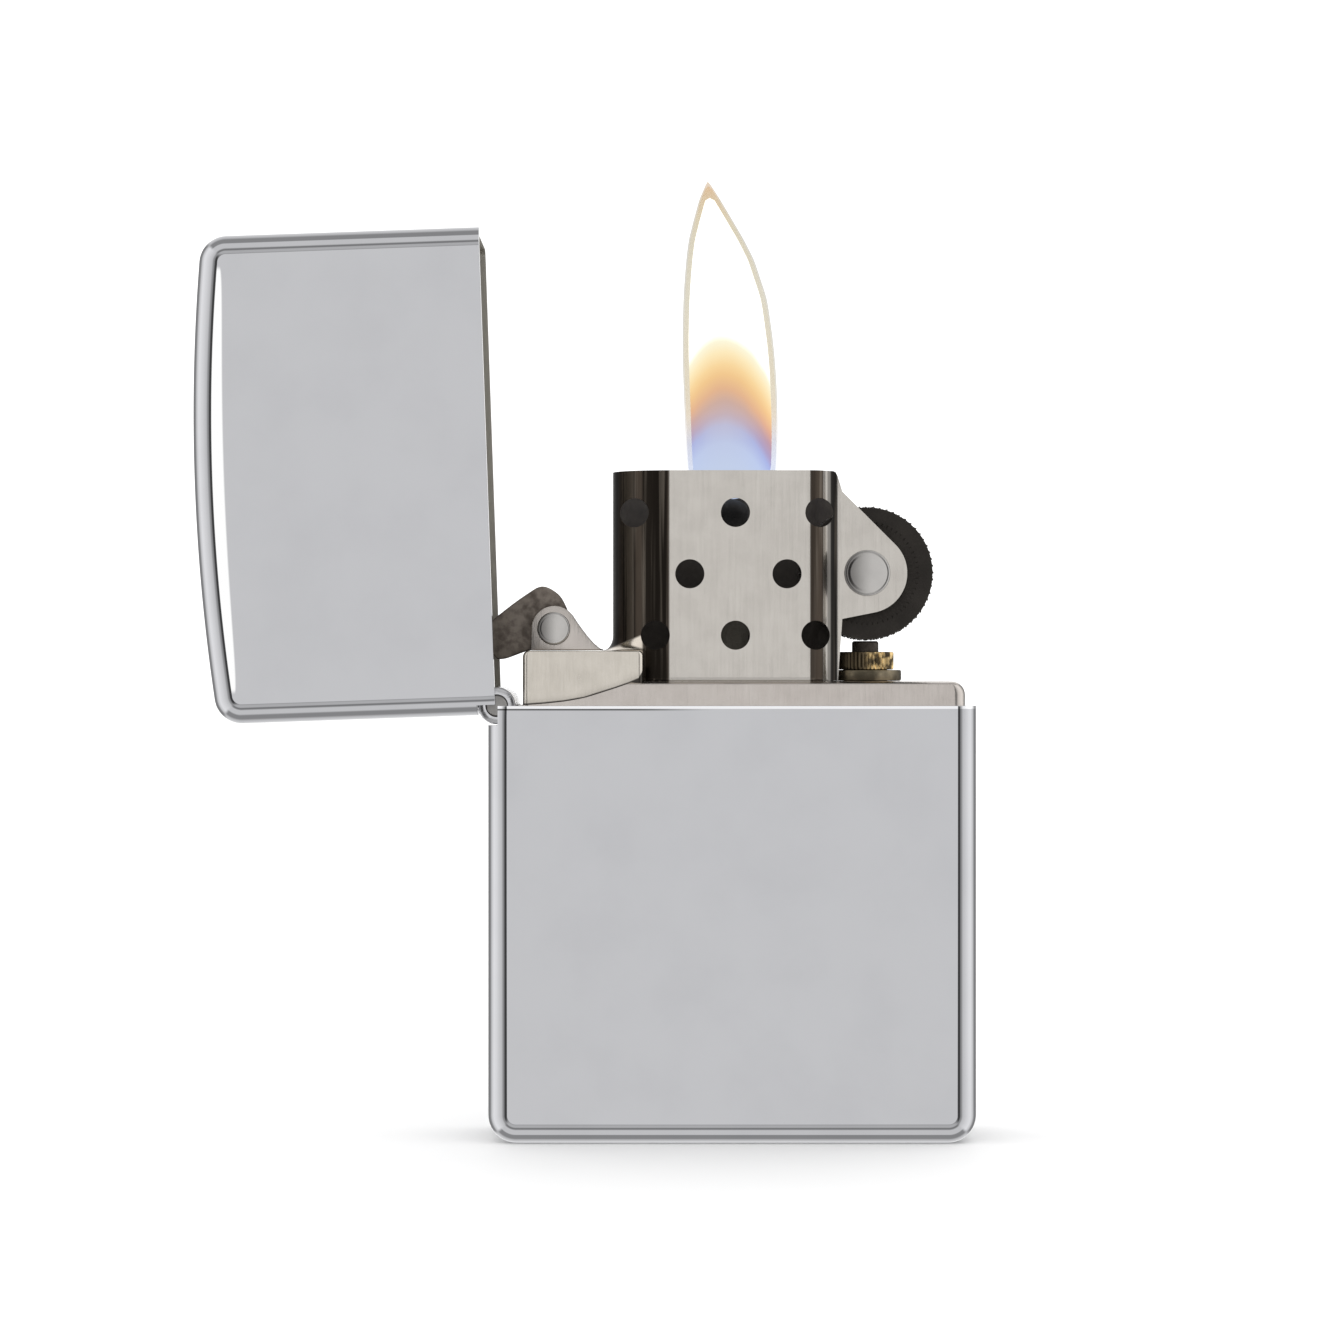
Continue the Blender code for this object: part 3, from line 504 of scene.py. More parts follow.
def chimney_steel(graph: Graph) -> Look:
    """Smooth sheet of the windguard. Its round end and its bends carry painted dark reflections in
    upright streaks, and its flared foot carries a painted highlight.
    """
    look = brushed(graph, (0.59, 0.56, 0.52), (0.555, 0.525, 0.485), (8, 8, 0.35), 0.13)
    x, _, z = graph.axes()
    left, right = Chimney().left, Chimney().right
    brown, tan, smoke_and_painted_dark = (0.12, 0.1, 0.085), (0.17, 0.15, 0.13), (0.035, 0.03, 0.026)
    pale, grey, painted_dark_band = (0.8, 0.8, 0.8), (0.4, 0.4, 0.4), (0.05, 0.05, 0.05)
    painted_foot_highlight, painted_streak_tone = (1.15, 1.1, 1.03), (0.3, 0.27, 0.24)
    # Painted reflections along x: dark bands on the round end and the bends, white (no change) on
    # the flat side.
    painted_reflection_bands = [
        (-9.36, smoke_and_painted_dark), (-8.98, smoke_and_painted_dark), (-8.85, brown), (-8.6, brown), (-8.5, smoke_and_painted_dark),
        (-8.32, smoke_and_painted_dark), (-8.2, tan), (-7.8, tan), (-7.65, smoke_and_painted_dark), (-7.5, brown), (-7.1, brown),
        (-6.95, smoke_and_painted_dark), (-5.15, smoke_and_painted_dark), (-4.98, brown), (-4.85, WHITE), (4.7, WHITE),
        (6.08, WHITE), (6.16, brown), (7.12, brown), (7.2, pale), (7.46, pale), (7.52, grey),
        (7.72, grey), (7.8, painted_dark_band), (8.24, painted_dark_band), (8.36, WHITE),
    ]
    length = right + 0.1 * MM - left
    stops = [((place * MM - left) / length, tone) for place, tone in painted_reflection_bands]
    tint = graph.ramp((x - left) / length, stops)
    # Painted highlight: the flared foot of the round end is made lighter than the bare sheet.
    over_foot = z - 38.35 * MM - (x + 10.1 * MM) * 0.42
    foot = over_foot.step(0.1 * MM, -0.15 * MM) * x.step(-6.9 * MM, -7.1 * MM)
    tone = graph.mix(foot, tint, painted_foot_highlight)
    share = Value(graph, tone)
    # Lighter upright streaks painted into the dark reflection bands.
    painted_light_streaks = graph.noise(2400, (1, 1, 0.02), 3).step(0.5, 0.72) * share.step(0.5, 0.3) * 0.75
    colour = graph.tinted(look.colour, graph.mix(painted_light_streaks, tone, painted_streak_tone))
    drawn = graph.noise(600, (8, 8, 0.3), 3)
    rough = look.roughness + 0.22 * share.step(0.9, 0.3) + 0.05 * drawn
    return replace(look, colour=colour, roughness=rough)


def soot(graph: Graph) -> Look:
    """Matt black soot inside the windguard."""
    flake = graph.noise(1400, detail=5)
    return Look(graph.mix(flake, (0.075, 0.066, 0.055), (0.025, 0.022, 0.019)), 0.8, 0.0,
                graph.bump(flake, 0.03 * MM))


def hinge_chrome(graph: Graph) -> Look:
    """Plated hinge stock, a little duller than the shells."""
    rub = graph.noise(500, (1, 5, 5), 3).step(0.4, 0.8)
    colour = graph.mix(rub, (0.6, 0.6, 0.62), (0.45, 0.45, 0.46))
    return Look(colour, 0.1 + 0.15 * rub, normal=graph.bump(rub, 0.008 * MM))


def pin_steel(graph: Graph) -> Look:
    """Cut ends of the hinge pin."""
    grain = graph.noise(900, detail=4)
    return Look(graph.mix(grain, (0.42, 0.41, 0.4), (0.25, 0.24, 0.23)), 0.25 + 0.2 * grain)


def cam_steel(graph: Graph) -> Look:
    """Heat-blacked steel, speckled, with a brown bloom."""
    speck = graph.noise(1500, detail=6).step(0.35, 0.7)
    bloom = graph.noise(320, detail=4)
    colour = graph.mix(speck, srgb(124, 116, 108), srgb(78, 71, 65))
    colour = graph.mix(bloom * 0.4, colour, srgb(120, 107, 96))
    return Look(colour, 0.5 + 0.2 * speck, 0.5, graph.bump(speck, 0.02 * MM))


def rivet_steel(graph: Graph) -> Look:
    """Bright flat rivet heads, with painted shade on the hinge side, where each was hammered down.
    """
    bright, dull, shaded = (0.56, 0.545, 0.525), (0.46, 0.445, 0.43), (0.1, 0.095, 0.09)
    cam_reach, wheel_extra = 1.2 * MM, 0.55 * MM
    grain = graph.noise(600, detail=4)
    x, _, _ = graph.axes()
    is_wheel = x.step(0.0, 0.1 * MM)
    middle = CAM_X + is_wheel * (WHEEL_X - CAM_X)
    # Painted shade: each head darkens towards its -X side.
    shade = ((x - middle) / (cam_reach + is_wheel * wheel_extra)).step(0.35, -0.95)
    colour = graph.mix(shade * 0.85, graph.mix(grain, bright, dull), shaded)
    return Look(colour, 0.12 + 0.1 * grain)


def wheel_steel(graph: Graph) -> Look:
    """Hardened file steel: near black, oily, paler on the worn tips."""
    x, _, z = graph.axes()
    rim, turning_pitch = SparkWheel.radius, 42000
    radius = ((x - WHEEL_X) ** 2 + (z - WHEEL_Z) ** 2) ** 0.5
    worn = radius.step(rim - 0.22 * MM, rim) * graph.noise(900).step(0.35, 0.7)
    rings = (radius * turning_pitch).sine() * 0.5 + 0.5
    grime_and_painted_dark_line = graph.noise(500, detail=5)
    colour = graph.mix(grime_and_painted_dark_line, srgb(58, 54, 50), srgb(34, 31, 28))
    colour = graph.mix(worn * 0.7, colour, srgb(118, 112, 104))
    rough = 0.42 + 0.25 * grime_and_painted_dark_line - 0.12 * worn
    return Look(colour, rough, 0.7, graph.bump(rings * 0.3 + grime_and_painted_dark_line, 0.012 * MM))


def brass(graph: Graph) -> Look:
    """Bright brass that has gone brown in its hollows."""
    tarnish = graph.noise(700, detail=5).step(0.3, 0.75)
    colour = graph.mix(tarnish, (0.6, 0.42, 0.17), (0.16, 0.12, 0.07))
    return Look(colour, 0.16 + 0.25 * tarnish, normal=graph.bump(tarnish, 0.01 * MM))


def dark_brass(graph: Graph) -> Look:
    """Knurled brass, brown all over, with a painted highlight only on the crests of its +X side."""
    x, _, _ = graph.axes()
    # Painted highlight on the crests of the +X side.
    lit = (x - TUBE_X).step(-0.3 * MM, 0.6 * MM) * graph.noise(1500, detail=5).step(0.4, 0.62)
    tarnish = graph.noise(700, detail=5)
    colour = graph.mix(tarnish, (0.15, 0.115, 0.07), (0.04, 0.032, 0.022))
    return Look(graph.mix(lit, colour, (0.85, 0.62, 0.3)), 0.3 + 0.2 * tarnish - 0.1 * lit)


def bronze(graph: Graph) -> Look:
    """Dark toned brass of the flange."""
    tarnish = graph.noise(650, detail=5).step(0.25, 0.65)
    colour = graph.mix(tarnish, (0.3, 0.25, 0.17), (0.1, 0.085, 0.06))
    return Look(colour, 0.25 + 0.2 * tarnish, normal=graph.bump(tarnish, 0.01 * MM))


def spring_steel(graph: Graph) -> Look:
    """Drawn spring wire and strip."""
    draw = graph.noise(1200, detail=3)
    return Look(graph.mix(draw, (0.5, 0.49, 0.47), (0.3, 0.29, 0.28)), 0.2 + 0.15 * draw)


def flint_alloy(graph: Graph) -> Look:
    """Pressed ferrocerium, dark and grainy."""
    grain = graph.noise(1800, detail=5)
    colour = graph.mix(grain, srgb(92, 84, 76), srgb(48, 43, 39))
    return Look(colour, 0.5 + 0.25 * grain, 0.6, graph.bump(grain, 0.03 * MM))


def fibres(graph: Graph, light: tuple, dark: tuple, scale: float, depth: float) -> Look:
    """Matted fibre: crossed stretched noises under a soft sheen.

    Args:
        graph: the graph to fill.
        light: colour of the fibres that stand out.
        dark: colour between them.
        scale: fibres in a metre.
        depth: relief, in metres.

    Returns:
        The look.
    """
    strands = graph.noise(scale, (1, 1, 5), 3).at_least(graph.noise(scale, (5, 1, 1), 3))
    clumps = graph.noise(scale / 6, detail=4)
    colour = graph.mix((strands * 0.7 + clumps * 0.3).step(0.35, 0.7), dark, light)
    extras = {"Sheen Weight": 0.4, "Sheen Roughness": 0.6}
    return Look(colour, 0.85 + 0.1 * clumps, 0.0, graph.bump(strands, depth), extras)


def wadding(graph: Graph) -> Look:
    """White cotton wool, faintly yellowed by the fuel."""
    return fibres(graph, (0.86, 0.84, 0.79), (0.62, 0.58, 0.5), 1500, 0.1 * MM)


def felt(graph: Graph) -> Look:
    """Grey pressed felt."""
    return fibres(graph, (0.36, 0.36, 0.35), (0.2, 0.2, 0.2), 2600, 0.05 * MM)


def wick_cotton(graph: Graph) -> Look:
    """Braided cotton, charred at the end that burns."""
    look = fibres(graph, (0.74, 0.69, 0.58), (0.45, 0.4, 0.31), 2400, 0.05 * MM)
    _, _, height = graph.axes()
    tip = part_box("wick")[1][2]
    char = (height + 1.5 * MM * graph.noise(900)).step(tip - 4 * MM, tip - 0.8 * MM)
    smoke_and_painted_dark = height.step(tip - 15 * MM, tip - 13.5 * MM) * 0.85
    smoked = graph.mix(smoke_and_painted_dark, look.colour, (0.045, 0.04, 0.034))
    return Look(graph.mix(char, smoked, (0.012, 0.011, 0.01)), look.roughness, 0.0, look.normal)


def glow(colour: bpy.types.NodeSocket, alpha: object) -> Look:
    """A shader that only glows.

    Args:
        colour: what it gives out.
        alpha: how solid it is.

    Returns:
        The look.
    """
    extras = {
        "Emission Color": colour, "Emission Strength": 1.0, "Alpha": alpha,
        "Specular IOR Level": 0.0,
    }
    return Look(BLACK, 1.0, 0.0, None, extras)


def flame_share(graph: Graph) -> Value:
    """Height in the flame: 0 at the windguard's lip, 1 at the tip."""
    _, _, height = graph.axes()
    return (height - Flame.mouth()) / Flame.rise


def flame_edge(graph: Graph) -> Look:
    """The thin grey-gold skin that shows as the flame's outline."""
    share = flame_share(graph)
    colour = graph.ramp(share, [
        (0.0, srgb(150, 160, 190)), (0.16, srgb(190, 180, 170)), (0.3, srgb(180, 172, 150)),
        (0.8, srgb(158, 150, 130)), (0.93, srgb(165, 145, 105)), (1.0, srgb(190, 150, 95)),
    ])
    return glow(colour, share.step(0.0, 0.25) * 0.22 + 0.2)


def flame_halo(graph: Graph) -> Look:
    """Pale yellow layer under the skin, deeper towards the tip."""
    colour = graph.ramp(flame_share(graph), [
        (0.0, srgb(170, 188, 225)), (0.1, srgb(170, 180, 215)), (0.2, srgb(250, 225, 175)),
        (0.6, srgb(255, 246, 215)), (0.86, srgb(255, 238, 190)), (1.0, srgb(235, 180, 105)),
    ])
    return glow(colour, 0.35 - 0.15 * graph.noise(160, detail=1))


def flame_body(graph: Graph) -> Look:
    """White-hot body over an arch of yellow, orange and mauve that stands on blue. The arch is a
    parabola that falls towards both sides.
    """
    x, _, height = graph.axes()
    arch_x, arch_bend, waver, reach = -0.6 * MM, 250.0, 0.5 * MM, 16 * MM
    level = height - Flame.mouth() + (x - arch_x) ** 2 * arch_bend
    level = level + waver * graph.noise(500, (1, 1, 0.4), 3) - waver / 2
    colour = graph.ramp(level / reach, [
        (0.025, (0.68, 0.77, 0.95)), (0.138, (0.63, 0.74, 1.02)), (0.225, (0.453, 0.523, 0.95)),
        (0.275, (0.477, 0.327, 0.597)), (0.338, (0.615, 0.275, 0.342)),
        (0.4, (1.01, 0.382, 0.153)), (0.469, (1.3, 0.666, 0.162)), (0.519, (1.45, 0.92, 0.325)),
        (0.581, (1.56, 1.27, 0.72)), (0.637, (1.56, 1.54, 1.21)), (0.7, (3.0, 3.0, 2.9)),
    ])
    return glow(colour, 1.0)


def pale_floor(graph: Graph) -> Look:
    """Matt pale paper with a faint mottle."""
    return Look(graph.mix(graph.noise(40), (0.9, 0.9, 0.9), (0.87, 0.87, 0.87)), 0.7, 0.0)


HINGE = Finish("hinge_plate", hinge_chrome)
PIN = Finish("pin_end", pin_steel)
CASE_CHROME = Finish("chrome_plate_case", case_chrome)
LID_CHROME = Finish("chrome_plate_lid", lid_chrome)
INNER = Finish("inner_satin", inner_satin)
INSERT = Finish("insert_sheet", insert_steel)
SHOULDER = Finish("shoulder_sheet", shoulder_steel)
SOOT = Finish("soot", soot)
DARK_BRASS = Finish("dark_brass", dark_brass)
CHIMNEY = Finish("chimney_sheet", chimney_steel)
RIVET = Finish("rivet_head", rivet_steel)
CAM = Finish("cam_black", cam_steel)
WHEEL = Finish("wheel_file", wheel_steel)
BRASS = Finish("bright_brass", brass)
BRONZE = Finish("toned_brass", bronze)
SPRING = Finish("spring_wire", spring_steel)
FLINT = Finish("flint_alloy", flint_alloy)
WADDING = Finish("cotton_wool", wadding)
FELT = Finish("pressed_felt", felt)
WICK = Finish("braided_cotton", wick_cotton)
EDGE_GLOW = Finish("flame_outline", flame_edge)
BODY_GLOW = Finish("flame_white", flame_body)
HALO_GLOW = Finish("flame_halo", flame_halo)
FLOOR = Finish("pale_floor", pale_floor)


# ---------------------------------------------------------------- outlines and meshes


@dataclass
class Outline:
    """A line in a plane, with the direction that points away from its material at each point."""

    points: np.ndarray
    normals: np.ndarray

    @classmethod
    def rounded(cls, corners: Sequence[tuple], radii: Sequence[float], steps: int) -> "Outline":
        """An open line through corners, each rounded by an arc that touches both sides.

        The outward side is on the right of the direction of travel.

        Args:
            corners: (x, z) points.
            radii: one radius for each corner; the two ends take 0.
            steps: points on each arc.

        Returns:
            The outline.
        """
        corners = np.asarray(corners, float)
        legs = np.diff(corners, axis=0)
        legs /= np.linalg.norm(legs, axis=1)[:, None]
        sides = np.stack([legs[:, 1], -legs[:, 0]], axis=1)
        points, normals = [corners[:1]], [sides[:1]]
        for corner, radius, before, after, turn in zip(
            corners[1:-1], radii[1:-1], sides, sides[1:], np.cross(legs[:-1], legs[1:])
        ):
            sign = 1.0 if turn > 0 else -1.0
            half = math.acos(float(np.clip(before @ after, -1, 1))) / 2
            middle = (before + after) / np.linalg.norm(before + after)
            centre = corner - sign * middle * radius / math.cos(half)
            angles = np.linspace(-half, half, steps)[:, None] * sign
            tangent = np.array([-middle[1], middle[0]])
            spokes = middle * np.cos(angles) + tangent * np.sin(angles)
            points.append(centre + sign * radius * spokes)
            normals.append(spokes)
        points.append(corners[-1:])
        normals.append(sides[-1:])
        return cls(np.concatenate(points), np.concatenate(normals))

    @classmethod
    def closed(cls, points: np.ndarray) -> "Outline":
        """A closed anticlockwise line, with normals from its neighbours.

        Args:
            points: (x, z) points, the first not repeated.

        Returns:
            The outline.
        """
        along = np.roll(points, -1, axis=0) - np.roll(points, 1, axis=0)
        along /= np.linalg.norm(along, axis=1)[:, None]
        return cls(points, np.stack([along[:, 1], -along[:, 0]], axis=1))


def smooth_through(points: Sequence[tuple], steps: int) -> np.ndarray:
    """A closed Catmull-Rom curve: cubic pieces whose slope at a point is half the step between
    its neighbours.

    Args:
        points: what the curve passes through.
        steps: points on each piece.

    Returns:
        The curve's points.
    """
    points = np.asarray(points, float)
    t = np.arange(steps)[:, None, None] / steps
    before, start, end, after = (np.roll(points, shift, axis=0)[None] for shift in (1, 0, -1, -2))
    curve = start + 0.5 * t * (end - before + t * (2 * before - 5 * start + 4 * end - after + t * (
        3 * (start - end) + after - before)))
    return curve.transpose(1, 0, 2).reshape(-1, points.shape[1])


def smoothed(points: Sequence[tuple], count: int, width: int) -> np.ndarray:
    """Points along a line, evened out and softened by a bell-shaped running mean.

    Args:
        points: the line's corners.
        count: how many points come back.
        width: how many neighbours each is averaged with.

    Returns:
        The points.
    """
    points = np.asarray(points, float)
    along = np.concatenate([[0], np.cumsum(np.linalg.norm(np.diff(points, axis=0), axis=1))])
    even = np.linspace(0, along[-1], count)
    kernel = np.hanning(width + 2)[1:-1]
    kernel /= kernel.sum()
    half = width // 2
    columns = []
    for axis in range(points.shape[1]):
        line = np.interp(even, along, points[:, axis])
        ends = (2 * line[0] - line[half:0:-1], line, 2 * line[-1] - line[-2:-half - 2:-1])
        columns.append(np.convolve(np.concatenate(ends), kernel, "valid"))
    return np.stack(columns, axis=1)


def arc_points(centre: Sequence[float], radius: float, start: float, end: float,
               steps: int) -> np.ndarray:
    """Points on a circle between two angles in degrees.

    Args:
        centre: its middle.
        radius: its radius.
        start: first angle.
        end: last angle.
        steps: how many points.

    Returns:
        The points.
    """
    angles = np.radians(np.linspace(start, end, steps))
    return np.asarray(centre) + radius * np.stack([np.cos(angles), np.sin(angles)], axis=1)


class MeshMaker:
    """Collects grids and flat faces, and makes one object of them."""

    def __init__(self) -> None:
        """Start empty."""
        self.points: list[np.ndarray] = []
        self.faces: list[list[int]] = []
        self.count = 0

    def grid(self, points: np.ndarray, wrap_rows: bool = False, wrap_columns: bool = False,
             keep: np.ndarray | None = None) -> np.ndarray:
        """Add a surface of rows and columns.

        Args:
            points: (rows, columns, 3) places.
            wrap_rows: whether the last row joins the first.
            wrap_columns: whether the last column joins the first.
            keep: which of its faces stay, or None for all.

        Returns:
            The (rows, columns) numbers of its points.
        """
        rows, columns = points.shape[:2]
        numbers = self.count + np.arange(rows * columns).reshape(rows, columns)
        below = np.roll(numbers, -1, axis=0)
        corners = np.stack([numbers, np.roll(numbers, -1, 1), np.roll(below, -1, 1), below], axis=2)
        last_row = rows if wrap_rows else rows - 1
        last_column = columns if wrap_columns else columns - 1
        corners = corners[:last_row, :last_column]
        if keep is not None:
            corners = corners[keep]
        self.points.append(points.reshape(-1, 3))
        self.faces.extend(corners.reshape(-1, 4).tolist())
        self.count += rows * columns
        return numbers

    def face(self, numbers: Sequence[int]) -> None:
        """Add one flat face.

        Args:
            numbers: its corners, in order.
        """
        self.faces.append([int(number) for number in numbers])

    def finish(self, name: str, finish: Finish, sharp: float = 40.0,
               merge: float = 2e-6) -> bpy.types.Object:
        """Make the object, with doubles merged and faces turned outwards.

        Args:
            name: the piece's name.
            finish: its finish.
            sharp: edges over this angle, in degrees, stay crisp.
            merge: how near two points are one.

        Returns:
            The object.
        """
        mesh = bpy.data.meshes.new(name)
        mesh.from_pydata(np.concatenate(self.points).tolist(), [], self.faces)
        bm = bmesh.new()
        bm.from_mesh(mesh)
        bmesh.ops.remove_doubles(bm, verts=bm.verts, dist=merge)
        bmesh.ops.recalc_face_normals(bm, faces=bm.faces)
        bm.to_mesh(mesh)
        bm.free()
        mesh.materials.append(finish.material())
        piece = bpy.data.objects.new(name, mesh)
        shade(piece, sharp)
        bpy.context.collection.objects.link(piece)
        return piece


def turned(maker: MeshMaker, profile: np.ndarray, centre: Sequence[float], axis: Axis, steps: int,
           relief: Callable[[np.ndarray, np.ndarray], np.ndarray] | None = None,
           lean: float = 0.0) -> None:
    """Add a surface of revolution: each profile point (radius, height) goes once round the axis.

    Args:
        maker: where it goes.
        profile: (radius, height) points. It is closed if no radius is zero.
        centre: the point on the axis at height zero.
        axis: direction of the heights.
        steps: points round it.
        relief: extra radius from the grids of angle and height, or None.
        lean: slope of the dished ends on their -X side, as an uneven hammer leaves them.
    """
    angle = np.linspace(0, FULL_TURN, steps, endpoint=False)[None, :]
    radius, height = profile[:, :1] + 0 * angle, profile[:, 1:] + 0 * angle
    inside = np.clip((DISH_SHARE * profile[:, 0].max() - radius) / (0.1 * MM), 0, 1)
    height = height - np.sign(height) * lean * np.clip(-radius * np.cos(angle), 0, None) * inside
    if relief is not None:
        radius = radius + relief(angle + 0 * height, height)
    across, up = radius * np.cos(angle), radius * np.sin(angle)
    layers = (across, height, up) if axis is Axis.Y else (across, up, height)
    points = np.stack(layers, axis=2) + np.asarray(centre)
    maker.grid(points, wrap_rows=bool(profile[:, 0].min() > 0), wrap_columns=True)


def turned_piece(name: str, finish: Finish, profile: np.ndarray, centre: Sequence[float],
                 axis: Axis, steps: int, sharp: float = 40.0, **form: object) -> bpy.types.Object:
    """Make an object of one surface of revolution.

    Args:
        name: the piece's name.
        finish: its finish.
        profile: (radius, height) points.
        centre: the point on the axis at height zero.
        axis: direction of the heights.
        steps: points round it.
        sharp: edges over this angle, in degrees, stay crisp.
        form: relief and lean, as turned takes them.

    Returns:
        The object.
    """
    maker = MeshMaker()
    turned(maker, profile, centre, axis, steps, **form)
    return maker.finish(name, finish, sharp)


def peened(tip: float, head: float, shank: float) -> np.ndarray:
    """Half-section of a rivet whose two nearly flat heads are a little dished, as (radius,
    distance along it). The dish's depth falls with the fourth power of the radius.

    Args:
        tip: where each head ends.
        head: radius of a head.
        shank: radius between the heads.

    Returns:
        The points, from one end of the axis to the other.
    """
    dish, head_height = 0.02 * MM, 0.5 * MM
    shares = np.linspace(0, DISH_SHARE, 14)
    hollow = np.stack([shares * head, tip - dish * (1 - (shares / DISH_SHARE) ** 4)], 1)
    rim = np.array([
        (0.93 * head, tip), (0.98 * head, tip - 0.05 * MM), (head, tip - 0.16 * MM),
        (head, tip - head_height), (shank, tip - head_height),
    ])
    half = np.concatenate([hollow, rim])
    return np.concatenate([half, (half * (1, -1))[::-1]])


def edge_profile(thickness: float, radius: float, steps: int = 5) -> np.ndarray:
    """Cross-section of a plate's rim: a quarter circle at each face, as (inset, across) points.

    Args:
        thickness: of the plate.
        radius: of its rounded edges.
        steps: points on each quarter.

    Returns:
        The points from one face to the other.
    """
    angles = np.linspace(0, RIGHT_ANGLE, steps)
    inset = radius * (1 - np.sin(angles))
    across = radius * (1 - np.cos(angles)) - thickness / 2
    low = np.stack([inset, across], axis=1)
    return np.concatenate([low, np.stack([inset, -across], axis=1)[::-1]])


def plate(maker: MeshMaker, outline: Outline, thickness: float, radius: float,
          y_middle: float = 0.0) -> None:
    """Add a flat plate: the outline carried across its thickness, drawn in by a quarter circle at
    both faces.

    Args:
        maker: where it goes.
        outline: its closed outline in x and z.
        thickness: along Y.
        radius: of its rounded edges.
        y_middle: middle of the thickness.
    """
    profile = edge_profile(thickness, radius)
    flat = outline.points[:, None] - outline.normals[:, None] * profile[None, :, :1]
    across = np.broadcast_to(profile[None, :, 1:] + y_middle, flat[..., :1].shape)
    points = np.concatenate([flat[..., :1], across, flat[..., 1:]], axis=2)
    numbers = maker.grid(points, wrap_rows=True)
    maker.face(numbers[:, 0])
    maker.face(numbers[:, -1])


def add_modifier(piece: bpy.types.Object, kind: str, **settings: object) -> None:
    """Add a modifier.

    Args:
        piece: what it changes.
        kind: its type.
        settings: its properties.
    """
    modifier = piece.modifiers.new(kind.lower(), kind)
    for name, setting in settings.items():
        setattr(modifier, name, setting)


def soften(piece: bpy.types.Object, width: float, segments: int, angle: float,
           weight: int = 70) -> None:
    """Ease a piece's edges and let its large faces lead the shading.

    Args:
        piece: the piece.
        width: of the eased edges.
        segments: steps across each.
        angle: edges over this angle, in degrees, are eased.
        weight: how much the large faces lead.
    """
    add_modifier(piece, "BEVEL", width=width, segments=segments, limit_method="ANGLE",
                 angle_limit=math.radians(angle))
    add_modifier(piece, "WEIGHTED_NORMAL", keep_sharp=True, weight=weight)


def shade(piece: bpy.types.Object, sharp: float) -> None:
    """Shade a piece smooth, with edges over an angle in degrees kept crisp."""
    piece.data.shade_smooth()
    piece.data.set_sharp_from_angle(angle=math.radians(sharp))


def cut(piece: bpy.types.Object, maker: MeshMaker) -> None:
    """Cut a closed shape out of a piece, for good.

    Args:
        piece: what is cut.
        maker: the closed shape.
    """
    tool = maker.finish("cutter", INSERT)
    add_modifier(piece, "BOOLEAN", object=tool, solver="MANIFOLD")
    apply_modifiers(piece)
    bpy.data.objects.remove(tool, do_unlink=True)


def apply_modifiers(piece: bpy.types.Object) -> None:
    """Make a piece's evaluated mesh its own.

    Args:
        piece: the piece.
    """
    bpy.context.view_layer.update()
    graph = bpy.context.evaluated_depsgraph_get()
    mesh = bpy.data.meshes.new_from_object(piece.evaluated_get(graph))
    piece.modifiers.clear()
    piece.data = mesh


def box_shape(low: Sequence[float], high: Sequence[float]) -> MeshMaker:
    """A plain box, used as a cutter.

    Args:
        low: lowest corner.
        high: highest corner.

    Returns:
        The shape.
    """
    x, y, z = np.meshgrid(*zip(low, high), indexing="ij")
    shape = MeshMaker()
    corners = np.stack([x, y, z], axis=-1).reshape(4, 2, 3)[[0, 1, 3, 2]]
    corners = shape.grid(corners, wrap_rows=True)
    shape.face(corners[:, 0])
    shape.face(corners[:, 1])
    return shape


def place(piece: bpy.types.Object, body: Body, slot: str, *nodes: str) -> bpy.types.Object:
    """Hand a finished piece to its body and hide the nodes it stands for.

    Args:
        piece: the piece.
        body: the body it rides on.
        slot: not used.
        nodes: what it replaces.

    Returns:
        The piece.
    """
    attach(piece, body.value)
    if nodes:
        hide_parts(*nodes)
    count = len(piece.data.polygons) if piece.type == "MESH" else 0
    LOG.info("%s rides on %s, %d faces", piece.name, body.value, count)
    return piece


# ---------------------------------------------------------------- case and lid


